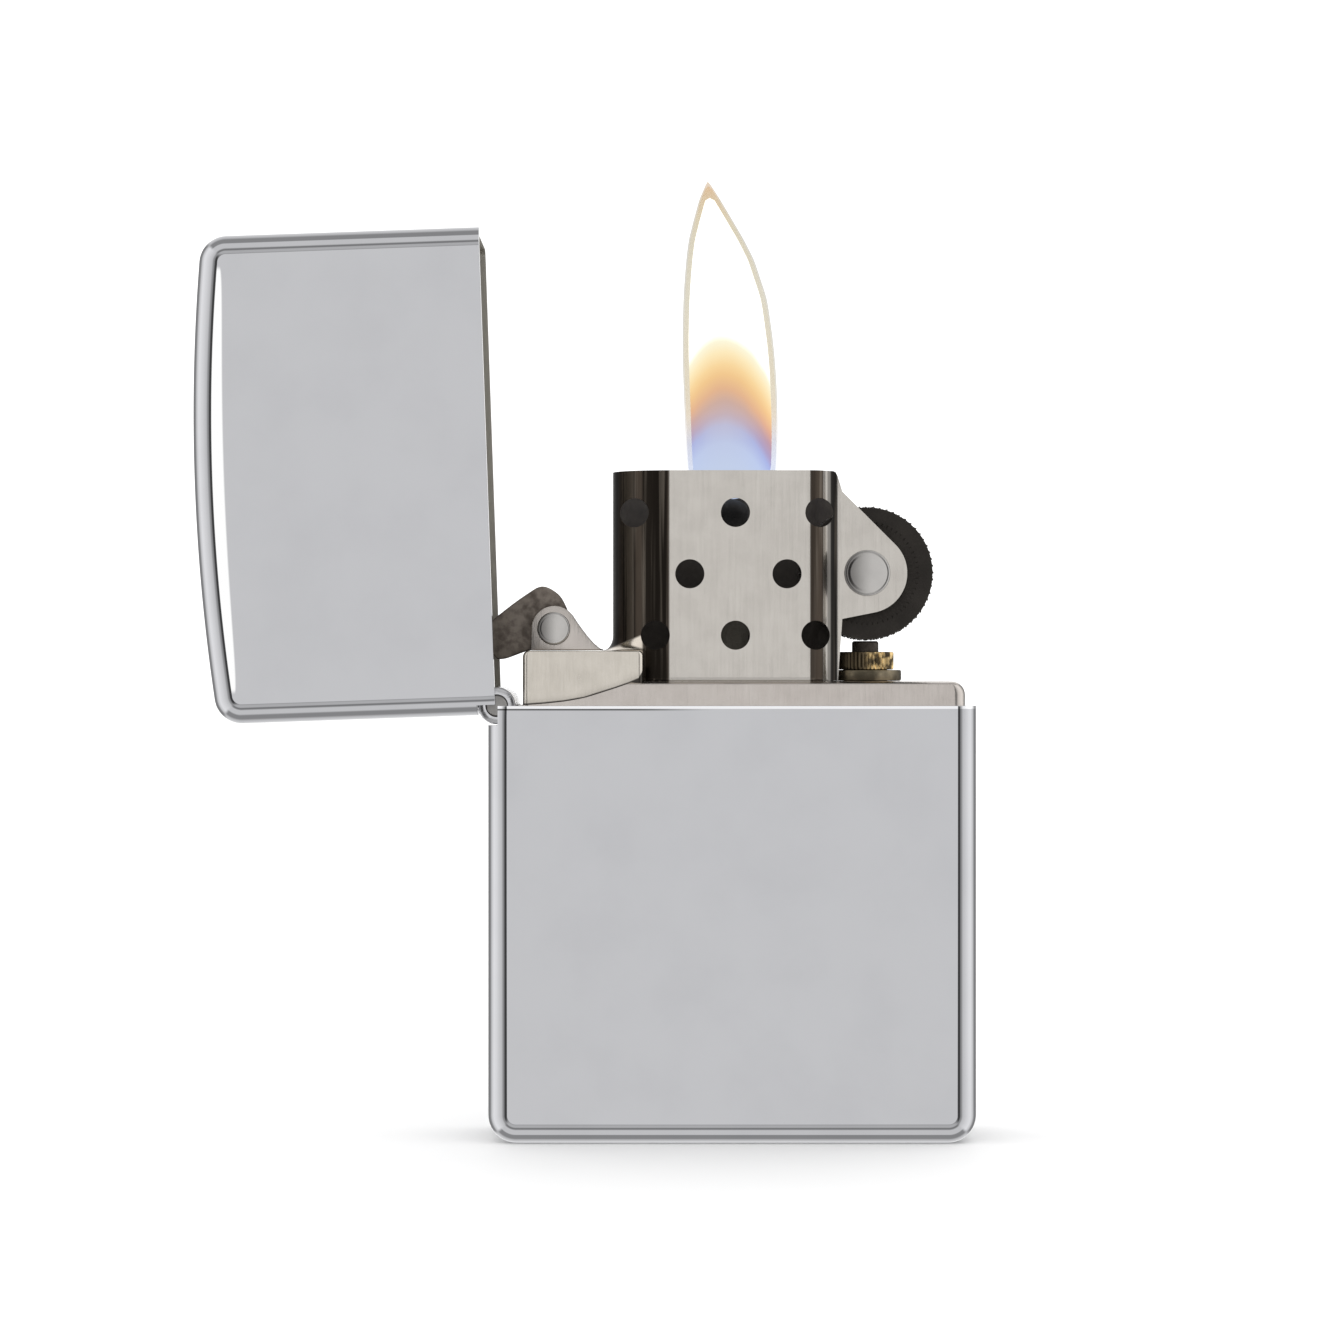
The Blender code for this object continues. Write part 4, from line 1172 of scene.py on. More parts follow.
@dataclass
class Shell:
    """A cup drawn from sheet: a front outline carried across its depth, with rounded edges."""

    depth: float
    edge_radius: float
    wall: float
    rim_bevel: float = 0.3 * MM
    arc_steps: int = 14

    def profile(self, extra_inset: float | None = None) -> np.ndarray:
        """Cross-section over the depth, as (inset, y): a quarter circle, a straight, a quarter
        circle.

        Args:
            extra_inset: an inset that must have a point of its own, or None.

        Returns:
            The points from front to back.
        """
        angles = np.linspace(0, RIGHT_ANGLE, self.arc_steps)
        if extra_inset is not None:
            angles = np.sort(np.append(angles, math.asin(1 - extra_inset / self.edge_radius)))
        inset = self.edge_radius * (1 - np.sin(angles))
        y = self.edge_radius * (1 - np.cos(angles)) - self.depth / 2
        return np.concatenate([np.stack([inset, y], 1), np.stack([inset, -y], 1)[::-1]])

    def surface(self, maker: MeshMaker, outline: Outline, notch: Callable | None = None,
                extra_inset: float | None = None, turn: Callable | None = None,
                squeeze: float = 1.0) -> None:
        """Add the outer surface: the outline drawn in along its normals by each inset, and flat
        faces that close the front and back.

        Args:
            maker: where it goes.
            outline: open front outline, from rim to rim.
            notch: says from the x and z of the faces' middles which faces go, or None.
            extra_inset: inset of the notch's edge, or None.
            turn: moves the finished points, or None.
            squeeze: how much of the inset is taken up and down.
        """
        profile = self.profile(extra_inset)
        inwards = outline.normals * (1.0, squeeze)
        flat = outline.points[:, None] - inwards[:, None] * profile[None, :, :1]
        across = np.broadcast_to(profile[None, :, 1:], flat[..., :1].shape)
        points = np.concatenate([flat[..., :1], across, flat[..., 1:]], axis=2)
        keep = None
        if notch is not None:
            middle = (points[:-1, :-1] + points[1:, :-1] + points[:-1, 1:] + points[1:, 1:]) / 4
            keep = ~notch(middle[..., 0], middle[..., 2])
        numbers = maker.grid(turn(points) if turn else points, keep=keep)
        maker.face(numbers[:, 0])
        maker.face(numbers[:, -1])

    def thicken(self, piece: bpy.types.Object) -> None:
        """Give the surface its wall, a soft rim and clean shading.

        Args:
            piece: the outer surface.
        """
        piece.data.materials.append(INNER.material())
        add_modifier(piece, "SOLIDIFY", thickness=self.wall, offset=-1, use_even_offset=True,
                     use_quality_normals=True, material_offset=1)
        soften(piece, self.rim_bevel, 4, 60)


@dataclass
class CaseAndLid:
    """The polished case, its flip-top lid and the hinge between them."""

    edge_radius: float = 1.65 * MM
    corner_radius: float = 2.2 * MM
    wall: float = 0.7 * MM
    lid_height: float = 23.0 * MM
    crown_rise: float = 1.2 * MM
    rim_gap: float = 0.1 * MM
    open_angle: float = math.radians(92)
    barrel_radius: float = 1.44 * MM
    pin_radius: float = 0.86 * MM
    knuckles: int = 5

    def __post_init__(self) -> None:
        """Read the case's box and the hinge's place from the frame."""
        low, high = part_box("case_shell")
        self.half_width = (high[0] - low[0]) / 2
        self.rim = high[2]
        self.shell = Shell(high[1] - low[1], self.edge_radius, self.wall)
        self.axis_x, _, self.axis_z = JOINTS["lid_hinge"]["pos_m"]
        self.notch_x = self.axis_x + 0.07 * MM
        self.notch_gap = self.barrel_radius + 0.08 * MM

    def opened(self, points: np.ndarray) -> np.ndarray:
        """Turn points of the closed lid about the hinge to the open one.

        Args:
            points: (..., 3) places.

        Returns:
            The turned places.
        """
        cosine, sine = math.cos(self.open_angle), math.sin(self.open_angle)
        x, z = points[..., 0] - self.axis_x, points[..., 2] - self.axis_z
        turned_x = self.axis_x + cosine * x - sine * z
        turned_z = self.axis_z + sine * x + cosine * z
        return np.stack([turned_x, points[..., 1], turned_z], axis=-1)

    def case_outline(self) -> Outline:
        """Rim to rim round the base, with a point where the hinge notch ends."""
        half, radius = self.half_width, self.corner_radius
        corners = [(-half, self.rim), (-half, 0), (half, 0), (half, self.rim)]
        outline = Outline.rounded(corners, [0, radius, radius, 0], self.shell.arc_steps)
        return self.with_notch_row(outline, 1, self.axis_z - self.notch_gap)

    @staticmethod
    def with_notch_row(outline: Outline, index: int, z: float) -> Outline:
        """Add a point on an outline's upright left side.

        Args:
            outline: the outline.
            index: where the point goes.
            z: its height.

        Returns:
            The outline with its new point.
        """
        neighbour = index - 1
        point = (outline.points[neighbour, 0], z)
        return Outline(
            np.insert(outline.points, index, point, axis=0),
            np.insert(outline.normals, index, outline.normals[neighbour], axis=0),
        )

    def closed_crown(self) -> tuple[float, float]:
        """Radius of the crown's arc, and the height of its centre on the closed lid."""
        crown = (self.half_width**2 + self.crown_rise**2) / (2 * self.crown_rise)
        return crown, self.rim + self.lid_height - crown

    def open_crown(self) -> tuple[float, float, float, float]:
        """Centre and radius of the crown's arc on the open lid, and the height of its middle."""
        crown, height = self.closed_crown()
        centre = self.opened(np.array([0.0, 0.0, height]))
        middle = self.opened(np.array([0.0, 0.0, self.rim + self.lid_height]))
        return float(centre[0]), float(centre[2]), crown, float(middle[2])

    def lid_outline(self) -> Outline:
        """Rim to rim over the crown: an arc across the top, joined to the sides by corner arcs."""
        half, radius = self.half_width, self.corner_radius
        crown, crown_z = self.closed_crown()
        corner_x = half - radius
        corner_z = crown_z + math.sqrt((crown - radius) ** 2 - corner_x**2)
        meet = math.degrees(math.atan2(corner_z - crown_z, corner_x))
        low = self.rim + self.rim_gap
        steps = self.shell.arc_steps
        right = arc_points((corner_x, corner_z), radius, 0, meet, steps)
        top = arc_points((0, crown_z), crown, meet, 180 - meet, 40)[1:-1]
        left = arc_points((-corner_x, corner_z), radius, 180 - meet, 180, steps)
        points = np.concatenate([[(half, low)], right, top, left, [(-half, low)]])
        centres = np.concatenate([
            np.tile((corner_x, corner_z), (steps, 1)), np.tile((0, crown_z), (len(top), 1)),
            np.tile((-corner_x, corner_z), (steps, 1)),
        ])
        spokes = points[1:-1] - centres
        spokes /= np.linalg.norm(spokes, axis=1)[:, None]
        normals = np.concatenate([[(1, 0)], spokes, [(-1, 0)]])
        last = len(points) - 1
        return self.with_notch_row(Outline(points, normals), last, self.axis_z + self.notch_gap)

    def build_case(self) -> None:
        """The lower shell, with its hinge notch."""
        maker = MeshMaker()
        inset = self.notch_x + self.half_width
        notch_z = self.axis_z - self.notch_gap
        self.shell.surface(
            maker, self.case_outline(), lambda x, z: (x < self.notch_x) & (z > notch_z), inset
        )
        case = maker.finish("case", CASE_CHROME)
        self.shell.thicken(case)
        place(case, Body.CASE, "chrome", "case_shell")

    def build_lid(self) -> None:
        """The flip-top, drawn closed and turned open."""
        maker = MeshMaker()
        inset = self.notch_x + self.half_width
        notch_z = self.axis_z + self.notch_gap
        self.shell.surface(
            maker, self.lid_outline(), lambda x, z: (x < self.notch_x) & (z < notch_z), inset,
            self.opened,
        )
        lid = maker.finish("lid", LID_CHROME)
        self.shell.thicken(lid)
        place(lid, Body.LID, "chrome", "lid_shell")

    def build_hinge(self) -> None:
        """Knuckles as turned rings with eased edges, a leaf each way, and the pin."""
        low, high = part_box("hinge_pin")
        length = high[1] - low[1]
        pitch = length / self.knuckles
        ease, play = 0.12 * MM, 0.03 * MM
        half = pitch / 2 - play
        outer, inner = self.barrel_radius, self.pin_radius + play
        ring = np.array([
            (outer - ease, -half), (outer - ease * 0.3, -half + ease * 0.3), (outer, -half + ease),
            (outer, half - ease), (outer - ease * 0.3, half - ease * 0.3), (outer - ease, half),
            (inner, half), (inner, -half),
        ])
        for name, first, node, body, towards in (
            ("case_hinge", 0, "case_hinge_plate", Body.CASE, -1),
            ("lid_hinge", 1, "lid_hinge_plate", Body.LID, 1),
        ):
            maker = MeshMaker()
            for knuckle in range(first, self.knuckles, 2):
                middle = (self.axis_x, low[1] + (knuckle + 0.5) * pitch, self.axis_z)
                turned(maker, ring, middle, Axis.Y, 64)
            leaf = self.leaf(towards)
            maker.grid(self.opened(leaf) if towards > 0 else leaf, wrap_rows=True)
            piece = maker.finish(name, HINGE, 30)
            place(piece, body, "hinge_chrome", node)
        radius, end = self.pin_radius, length / 2
        profile = np.array([
            (0, -end), (radius - ease, -end), (radius, -end + ease), (radius, end - ease),
            (radius - ease, end), (0, end),
        ])
        centre = (self.axis_x, 0, self.axis_z)
        pin = turned_piece("hinge_pin_ends", PIN, profile, centre, Axis.Y, 48)
        place(pin, Body.CASE, "pin_steel", "hinge_pin")

    def leaf(self, towards: int) -> np.ndarray:
        """Grid of the flat leaf behind the wall: its rounded cross-section carried along Y.

        Args:
            towards: -1 for below the axis, +1 for above.

        Returns:
            The points, closed at both ends.
        """
        length, half_width, soft = 6.8 * MM, 4.6 * MM, 0.1 * MM
        near = self.axis_z + towards * (self.barrel_radius - 0.3 * MM)
        far = near + towards * length
        x_low, x_high = self.axis_x + 0.03 * MM, self.axis_x + 0.53 * MM
        section = np.array([
            (x_low, near), (x_high, near), (x_high, far - towards * soft), (x_high - soft, far),
            (x_low + soft, far), (x_low, far - towards * soft),
        ])
        middle = section.mean(axis=0)
        y = np.array([-half_width, -half_width, half_width, half_width])
        rings = np.stack([np.where(end, middle, section) for end in (True, False, False, True)])
        columns = np.broadcast_to(y[:, None, None], (4, 6, 1))
        points = np.concatenate([rings[..., :1], columns, rings[..., 1:]], axis=2)
        return points.transpose(1, 0, 2)

    def build(self) -> None:
        """Make everything."""
        self.build_case()
        self.build_lid()
        self.build_hinge()


# ---------------------------------------------------------------- insert


@dataclass
class Insert:
    """Tank, shoulder and felt of the lift-out insert."""

    sheet: float = 0.35 * MM
    edge_radius: float = 0.9 * MM
    corner_radius: float = 1.06 * MM
    deck_below_pivot: float = 4.14 * MM
    slot_half_width: float = 1.04 * MM
    tube_hole: float = 3.2 * MM
    filler_hole: float = 1.0 * MM

    def __post_init__(self) -> None:
        """Read the boxes of the tank and shoulder."""
        self.low, self.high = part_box("tank_shell")
        self.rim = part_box("case_shell")[1][2]
        self.deck = CAM_Z - self.deck_below_pivot
        self.shoulder_low, self.shoulder_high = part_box("cam_shoulder")

    def cup(self, low: Sequence[float], high: Sequence[float], top: float, radii: Sequence[float],
            edge: float, finish: Finish) -> bpy.types.Object:
        """A cup that opens downwards.

        Args:
            low: lowest corner of its box.
            high: highest corner of its box.
            top: height of its top.
            radii: of its right and left top corners.
            edge: radius of its upright edges; its top edge is tighter.
            finish: its finish.

        Returns:
            The piece.
        """
        corners = [(high[0], low[2]), (high[0], top), (low[0], top), (low[0], low[2])]
        outline = Outline.rounded(corners, [0, *radii, 0], 10)
        maker = MeshMaker()
        shell = Shell(high[1] - low[1], edge, self.sheet, 0.03 * MM, 8)
        shell.surface(maker, outline, squeeze=0.3)
        piece = maker.finish("cup", finish)
        add_modifier(piece, "SOLIDIFY", thickness=self.sheet, offset=-1, use_even_offset=True)
        apply_modifiers(piece)
        return piece

    def build_tank(self) -> None:
        """The outer sheet, with the swept edge that uncovers the shoulder at the cam."""
        radii = (self.corner_radius, self.corner_radius)
        tank = self.cup(self.low, self.high, self.deck, radii, self.edge_radius, INSERT)
        tank.name = "tank"
        gap, clear, over = 0.03 * MM, 1.0 * MM, self.deck + 3 * MM
        left, right = self.low[0] - clear, self.shoulder_high[0] + 0.05 * MM
        sweep = smoothed(SWEEP, 60, 9)[::-1]
        around = [(left, self.rim - 0.35 * MM), (left, over), (right, over)]
        cutter = MeshMaker()
        plate(cutter, Outline.closed(np.concatenate([sweep, around])), 20 * MM, 0.01 * MM)
        cut(tank, cutter)
        half = (self.shoulder_high[1] - self.shoulder_low[1]) / 2 + gap
        low = (self.shoulder_low[0] - gap, -half, self.shoulder_low[2])
        cut(tank, box_shape(low, (right, half, self.deck + clear)))
        shade(tank, 35)
        soften(tank, 0.05 * MM, 2, 50)
        place(tank, Body.INSERT, "insert_steel", "tank_shell")

    def build_shoulder(self) -> None:
        """The raised piece under the cam, slotted for its toe."""
        low, high = self.shoulder_low, self.shoulder_high
        shoulder = self.cup(low, high, high[2], (0.4 * MM, 0.5 * MM), 0.38 * MM, SHOULDER)
        shoulder.name = "shoulder"
        half, clear = self.slot_half_width, 1.0 * MM
        slot_end = CAM_X + 2.4 * MM
        cut(shoulder, box_shape(
            (low[0] - clear, -half, self.deck - 0.4 * MM), (slot_end, half, high[2] + clear)
        ))
        shade(shoulder, 35)
        soften(shoulder, 0.06 * MM, 2, 50)
        place(shoulder, Body.INSERT, "insert_steel", "cam_shoulder")

    def build_felt(self) -> None:
        """The pad: a slab that swells a little between its rounded edges, with its two holes."""
        low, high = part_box("felt_pad")
        across, deep = np.meshgrid(np.linspace(-1, 1, 61), np.linspace(-1, 1, 25), indexing="ij")
        half, middle = (np.array(high) - low) / 2, (np.array(high) + low) / 2
        crown = 1 - 0.06 * (across**4 + deep**4)
        fuzz = 0.02 * np.sin(31 * across + 17 * deep) * np.cos(23 * deep - 9 * across)
        rounding = np.clip(np.maximum(abs(across), abs(deep)) - 0.96, 0, 1) / 0.04
        maker = MeshMaker()
        faces = []
        for side in (-1, 1):
            x, y = middle[0] + half[0] * across, middle[1] + half[1] * deep
            z = middle[2] + side * half[2] * (crown + fuzz - 0.25 * rounding**2)
            faces.append(maker.grid(np.stack([x, y, z], axis=2)))
        edge = [np.concatenate([n[:-1, 0], n[-1, :-1], n[:0:-1, -1], n[0, :0:-1]]) for n in faces]
        following = [np.roll(line, -1) for line in edge]
        for corners in zip(edge[0], following[0], following[1], edge[1]):
            maker.face(corners)
        felt_pad = maker.finish("felt_pad_soft", FELT)
        filler_x, past = low[0] + 5 * MM, 9 * MM
        for x, radius in ((TUBE_X, self.tube_hole), (filler_x, self.filler_hole)):
            hole = MeshMaker()
            rod = np.array([(0, -past), (radius, -past), (radius, past), (0, past)])
            turned(hole, rod, (x, 0, middle[2]), Axis.Z, 48)
            cut(felt_pad, hole)
        place(felt_pad, Body.INSERT, "felt", "felt_pad")

    def build(self) -> None:
        """Make everything."""
        self.build_tank()
        self.build_shoulder()
        self.build_felt()


@dataclass
class Chimney:
    """The perforated windguard with its two wheel ears."""

    depth: float = 8.7 * MM
    sheet: float = 0.45 * MM
    bend: float = 2.2 * MM
    ear_face: float = 2.52 * MM
    ear_radius: float = 3.15 * MM
    flare: float = 0.28 * MM
    hole_radius: float = 1.14 * MM
    holes: tuple = (
        (3.6 * MM, (-6.0 * MM, 0.27 * MM, 6.56 * MM), (-2.9 * MM, 3.42 * MM)),
        (8.4 * MM, (-3.3 * MM, 4.3 * MM), (-6.09 * MM, 0.5 * MM, 6.84 * MM)),
        (13.2 * MM, (-7.65 * MM, 0.27 * MM, 6.87 * MM), (-3.52 * MM, 3.74 * MM)),
    )

    def __post_init__(self) -> None:
        """Read its places from the frame."""
        low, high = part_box("chimney")
        self.left, self.high = low[0], high[2]
        self.bottom = low[2]
        self.step_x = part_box("cam_shoulder")[1][0] + 0.08 * MM
        self.step_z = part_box("cam_shoulder")[1][2] + 0.03 * MM
        self.right = WHEEL_X - 2.3 * MM

    def plan(self) -> tuple[np.ndarray, np.ndarray]:
        """Plan of its outer face and the outward normals: ear, two arcs in, side, half circle.

        Returns:
            Points and normals from the front ear to the back one.
        """
        half, ear = self.depth / 2, self.ear_face + self.sheet
        turn = 2 * math.degrees(math.atan2(half - ear, self.bend))
        radius = self.bend / (2 * math.sin(math.radians(turn)))
        start = self.right - self.bend
        nose = WHEEL_X + self.ear_radius
        angles = np.linspace(0, 87, 26)[1:]
        gap = 0.02 * MM
        ear_x = self.right + gap + (nose - self.right - gap) * np.sin(np.radians(angles))
        round_end = 40
        side = np.concatenate([
            arc_points((self.left + half, 0), half, 180, 90, round_end),
            np.stack([np.linspace(self.left + half, start, 24)[1:-1], np.full(22, half)], 1),
            arc_points((start, half - radius), radius, 90, 90 - turn, 9),
            arc_points((self.right, ear + radius), radius, 270 - turn, 270, 9)[1:],
            np.stack([ear_x, np.full(len(ear_x), ear)], 1),
        ])
        split, apart = self.step_x, 0.01 * MM
        edge = np.interp(split, side[:round_end, 0], side[:round_end, 1])
        row = int(np.searchsorted(side[:round_end, 0], split))
        pair = np.array([(split - apart, edge), (split + apart, edge)])
        side = np.concatenate([side[:row], pair, side[row:]])
        front = side[::-1] * (1, -1)
        points = np.concatenate([front, side[1:]])
        along = np.gradient(points, axis=0)
        along /= np.maximum(np.linalg.norm(along, axis=1), 1e-12)[:, None]
        return points, np.stack([-along[:, 1], along[:, 0]], axis=1)

    def heights(self, x: np.ndarray) -> tuple[np.ndarray, np.ndarray]:
        """Lower and upper edge of the sheet at each x.

        The sheet's lower edge steps up over the shoulder. Each ear slopes at 45 degrees onto an
        arc about the wheel's centre, and its lower edge runs from the arc to the chimney.

        Args:
            x: where.

        Returns:
            Lower and upper heights.
        """
        low = np.where(x < self.step_x, self.step_z, self.bottom)
        soft = 0.45 * MM
        turn = np.clip((x - (self.right - soft)) / soft, 0, 1)
        high = self.high - soft * (1 - np.sqrt(1 - turn**2))
        ear = x > self.right + 0.01 * MM
        dx = x - WHEEL_X
        reach = np.sqrt(np.maximum(self.ear_radius**2 - dx**2, 0))
        slope = WHEEL_Z + self.ear_radius * math.sqrt(2) - dx
        diagonal = self.ear_radius / math.sqrt(2)
        ear_high = np.where(dx < diagonal, slope, WHEEL_Z + reach)
        meet = math.radians(-80)
        meet_x = self.ear_radius * math.cos(meet)
        meet_z = WHEEL_Z + self.ear_radius * math.sin(meet)
        ear_low = np.where(dx < meet_x, meet_z - 0.2 * (meet_x - dx), WHEEL_Z - reach)
        return np.where(ear, ear_low, low), np.where(ear, ear_high, high)

    def build(self) -> None:
        """Carry the plan up from edge to edge, flared at the foot. Give it thickness and holes."""
        plan, normals = self.plan()
        low, high = self.heights(plan[:, 0])
        angles = np.linspace(RIGHT_ANGLE, 0, 8)
        flare_out = self.flare * (1 - np.cos(angles))
        flare_up = self.flare * (1 - np.sin(angles))
        rest = np.linspace(0, 1, 30)[1:]
        before_ears, fade, nose_fade, nose_extra = 0.6 * MM, 1.2 * MM, 1.6 * MM, 1.9
        strength = np.clip((self.right - before_ears - plan[:, 0]) / fade, 0, 1)
        strength = strength + nose_extra * np.clip((self.step_x - plan[:, 0]) / nose_fade, 0, 1)
        out = np.concatenate([flare_out, np.zeros(len(rest))])[:, None] * strength[None]
        tall = np.maximum(high - low, 1e-6)
        foot = np.minimum(self.flare * (1 + 1.6 * np.clip(strength - 1, 0, None)), tall / 2)
        flared = flare_up[:, None] / self.flare * foot
        up = np.concatenate([flared, foot + rest[:, None] * (tall - foot)])
        flat = plan[None] + normals[None] * out[..., None]
        points = np.concatenate([flat, (low + up)[..., None]], axis=2)
        maker = MeshMaker()
        maker.grid(points)
        chimney = maker.finish("windguard", CHIMNEY, 35, 1e-7)
        self.face_outwards(chimney)
        chimney.data.materials.append(SOOT.material())
        add_modifier(chimney, "SOLIDIFY", thickness=self.sheet, offset=-1, use_even_offset=False,
                     material_offset=1)
        apply_modifiers(chimney)
        holes = MeshMaker()
        deep, floor = self.depth, self.bottom - 0.03 * MM
        front = np.array([(0, -deep), (self.hole_radius, -deep), (self.hole_radius, 0), (0, 0)])
        for height, *rows in self.holes:
            for places, rod in zip(rows, (front, -front[::-1] * (-1, 1))):
                for x in places:
                    turned(holes, rod, (x, 0, floor + height), Axis.Y, 40)
        cut(chimney, holes)
        shade(chimney, 40)
        soften(chimney, 0.07 * MM, 2, 65, 60)
        place(chimney, Body.INSERT, "chimney_steel", "chimney")

    def face_outwards(self, piece: bpy.types.Object) -> None:
        """Turn an open wall's faces away from the middle of its plan.

        Args:
            piece: the wall.
        """
        middle = (self.left + self.right) / 2
        facing = sum(
            face.area * (face.normal.x * (face.center.x - middle) + face.normal.y * face.center.y)
            for face in piece.data.polygons
        )
        if facing < 0:
            piece.data.flip_normals()


@dataclass
class CamGear:
    """Cam, its bracket, rivets and leaf spring."""

    thickness: float = 1.6 * MM
    ear_radius: float = 1.8 * MM
    ear_sheet: float = 0.5 * MM
    rivet_radius: float = 1.3 * MM

    def build_cam(self) -> None:
        """The toggle: a smooth closed outline with rounded edges."""
        corners = [
            (-4.04, -2.4), (-2.1, -1.75), (-0.4, -1.45), (0.9, -1.15), (1.45, 0.1), (1.0, 1.6),
            (0.3, 2.75), (-0.93, 3.34), (-2.2, 2.7), (-4.1, 1.3), (-5.05, 0.4), (-5.25, -0.8),
            (-4.8, -2.1),
        ]
        points = smooth_through(corners, 10) * MM + (CAM_X, CAM_Z)
        maker = MeshMaker()
        plate(maker, Outline.closed(points), self.thickness, 0.14 * MM)
        place(maker.finish("cam_toe", CAM), Body.CAM, "cam_steel", "cam")

    def build_bracket(self) -> None:
        """Two rounded ears and the foot between them."""
        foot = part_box("cam_bracket")[0][2]
        right = CAM_X + 3.4 * MM
        crest = arc_points((CAM_X, CAM_Z), self.ear_radius, 180, 30, 40)
        start, end = crest[-1], np.array([right + 0.45 * MM, foot + 0.05 * MM])
        bend = np.array([right - 0.35 * MM, foot + 0.35 * MM])
        t = np.linspace(0, 1, 16)[1:, None]
        slope = (1 - t) ** 2 * start + 2 * t * (1 - t) * bend + t**2 * end
        corner = (CAM_X - self.ear_radius, foot)
        points = np.concatenate([[(end[0], foot)], slope[::-1], crest[::-1], [corner]])
        maker = MeshMaker()
        middle = self.thickness / 2 + 0.12 * MM + self.ear_sheet / 2
        for side in (-1, 1):
            plate(maker, Outline.closed(points), self.ear_sheet, 0.09 * MM, side * middle)
        left, top = right - 1.6 * MM, foot + 0.4 * MM
        base = np.array([(left, foot), (right, foot), (right, top), (left, top)])
        plate(maker, Outline.closed(base), 2 * middle, 0.02 * MM)
        place(maker.finish("cam_ears", INSERT), Body.INSERT, "insert_steel", "cam_bracket")

    def build_rivets(self) -> None:
        """The rivet through the cam, and the one that holds its spring."""
        profile = peened(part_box("cam_rivet")[1][1], self.rivet_radius, 0.6 * MM)
        heads = turned_piece("cam_rivet_heads", RIVET, profile, (CAM_X, 0, CAM_Z), Axis.Y, 72,
                             lean=RIVET_LEAN)
        place(heads, Body.INSERT, "insert_steel", "cam_rivet")
        low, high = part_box("cam_spring_rivet")
        radius, shank, top, foot = (high[0] - low[0]) / 2, 0.4 * MM, high[2], low[2]
        profile = np.array([
            (0, top), (radius * 0.7, top - 0.04 * MM), (radius, top - 0.2 * MM),
            (radius, top - 0.4 * MM), (shank, top - 0.4 * MM), (shank, foot + 0.35 * MM),
            (radius, foot + 0.35 * MM), (radius, foot + 0.15 * MM), (radius * 0.7, foot), (0, foot),
        ])
        centre = ((low[0] + high[0]) / 2, 0, 0)
        head = turned_piece("spring_rivet_head", RIVET, profile, centre, Axis.Z, 40)
        place(head, Body.INSERT, "insert_steel", "cam_spring_rivet")

    def build(self) -> None:
        """Make everything and finish the spring that the frame already has right."""
        self.build_cam()
        self.build_bracket()
        self.build_rivets()
        dress_node("cam_spring", SPRING)


def dress_node(node: str, finish: Finish) -> None:
    """Give a piece of the frame its finish.

    Args:
        node: its name.
        finish: the finish.
    """
    slots = frame["nodes"][node].data.materials
    slots.clear()
    slots.append(finish.material())
    LOG.info("%s keeps its shape and takes %s", node, finish.name)


# ---------------------------------------------------------------- wheel, flint and wick


@dataclass
class SparkWheel:
    """The file-cut wheel and its rivet."""

    radius = 5.3 * MM
    width: float = 4.8 * MM
    rim_band: float = 0.95 * MM
    rim_teeth: int = 60
    file_teeth: int = 72
    file_slant: float = 260.0
    tooth: float = 0.3 * MM
    rivet_head: float = 1.8 * MM
    rivet_shank: float = 1.2 * MM

    def relief(self, angle: np.ndarray, y: np.ndarray) -> np.ndarray:
        """Depth of the teeth: straight saw teeth on the two outer bands, and two crossed slanting
        rows that leave diamonds between them.

        Args:
            angle: round the wheel.
            y: along its axle.

        Returns:
            Extra radius, never above zero.
        """
        half = self.width / 2
        band = abs(y) > half - self.rim_band
        groove = abs(abs(y) - (half - self.rim_band)) < 0.12 * MM
        saw = 1 - (angle * self.rim_teeth / FULL_TURN) % 1.0
        slant, tooth = y * self.file_slant, angle * self.file_teeth / FULL_TURN
        first, second = (abs((row % 1.0) - 0.5) * 2 for row in (tooth + slant, tooth - slant))
        diamond = np.minimum(np.minimum(first, second) * 1.6, 1.0)
        depth = np.where(band, 1 - saw, 1 - diamond) * self.tooth
        depth = np.where(groove, self.tooth * 1.2, depth)
        return -depth * (abs(y) < half - 0.01 * MM)

    def build(self) -> None:
        """Turn the wheel with its relief, and its rivet."""
        half, radius, rows, centre = self.width / 2, self.radius, 44, (WHEEL_X, 0, WHEEL_Z)
        y = np.linspace(-half + 0.15 * MM, half - 0.15 * MM, rows)
        tread = np.stack([np.full(rows, radius), y], 1)
        sunk = -half + 0.12 * MM
        face = np.array([
            (radius - 0.12 * MM, -half), (radius - 1.2 * MM, -half), (radius - 1.35 * MM, sunk),
            (2.4 * MM, sunk), (2.3 * MM, -half), (1.23 * MM, -half),
        ])
        profile = np.concatenate([face[::-1], tread, face * (1, -1)])
        wheel = turned_piece("file_wheel", WHEEL, profile, centre, Axis.Y, self.rim_teeth * 12, 30,
                             relief=self.relief)
        place(wheel, Body.WHEEL, "wheel_steel", "spark_wheel")
        profile = peened(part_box("wheel_rivet")[1][1], self.rivet_head, self.rivet_shank)
        heads = turned_piece("wheel_rivet_heads", RIVET, profile, centre, Axis.Y, 72,
                             lean=RIVET_LEAN)
        place(heads, Body.INSERT, "chimney_steel", "wheel_rivet")


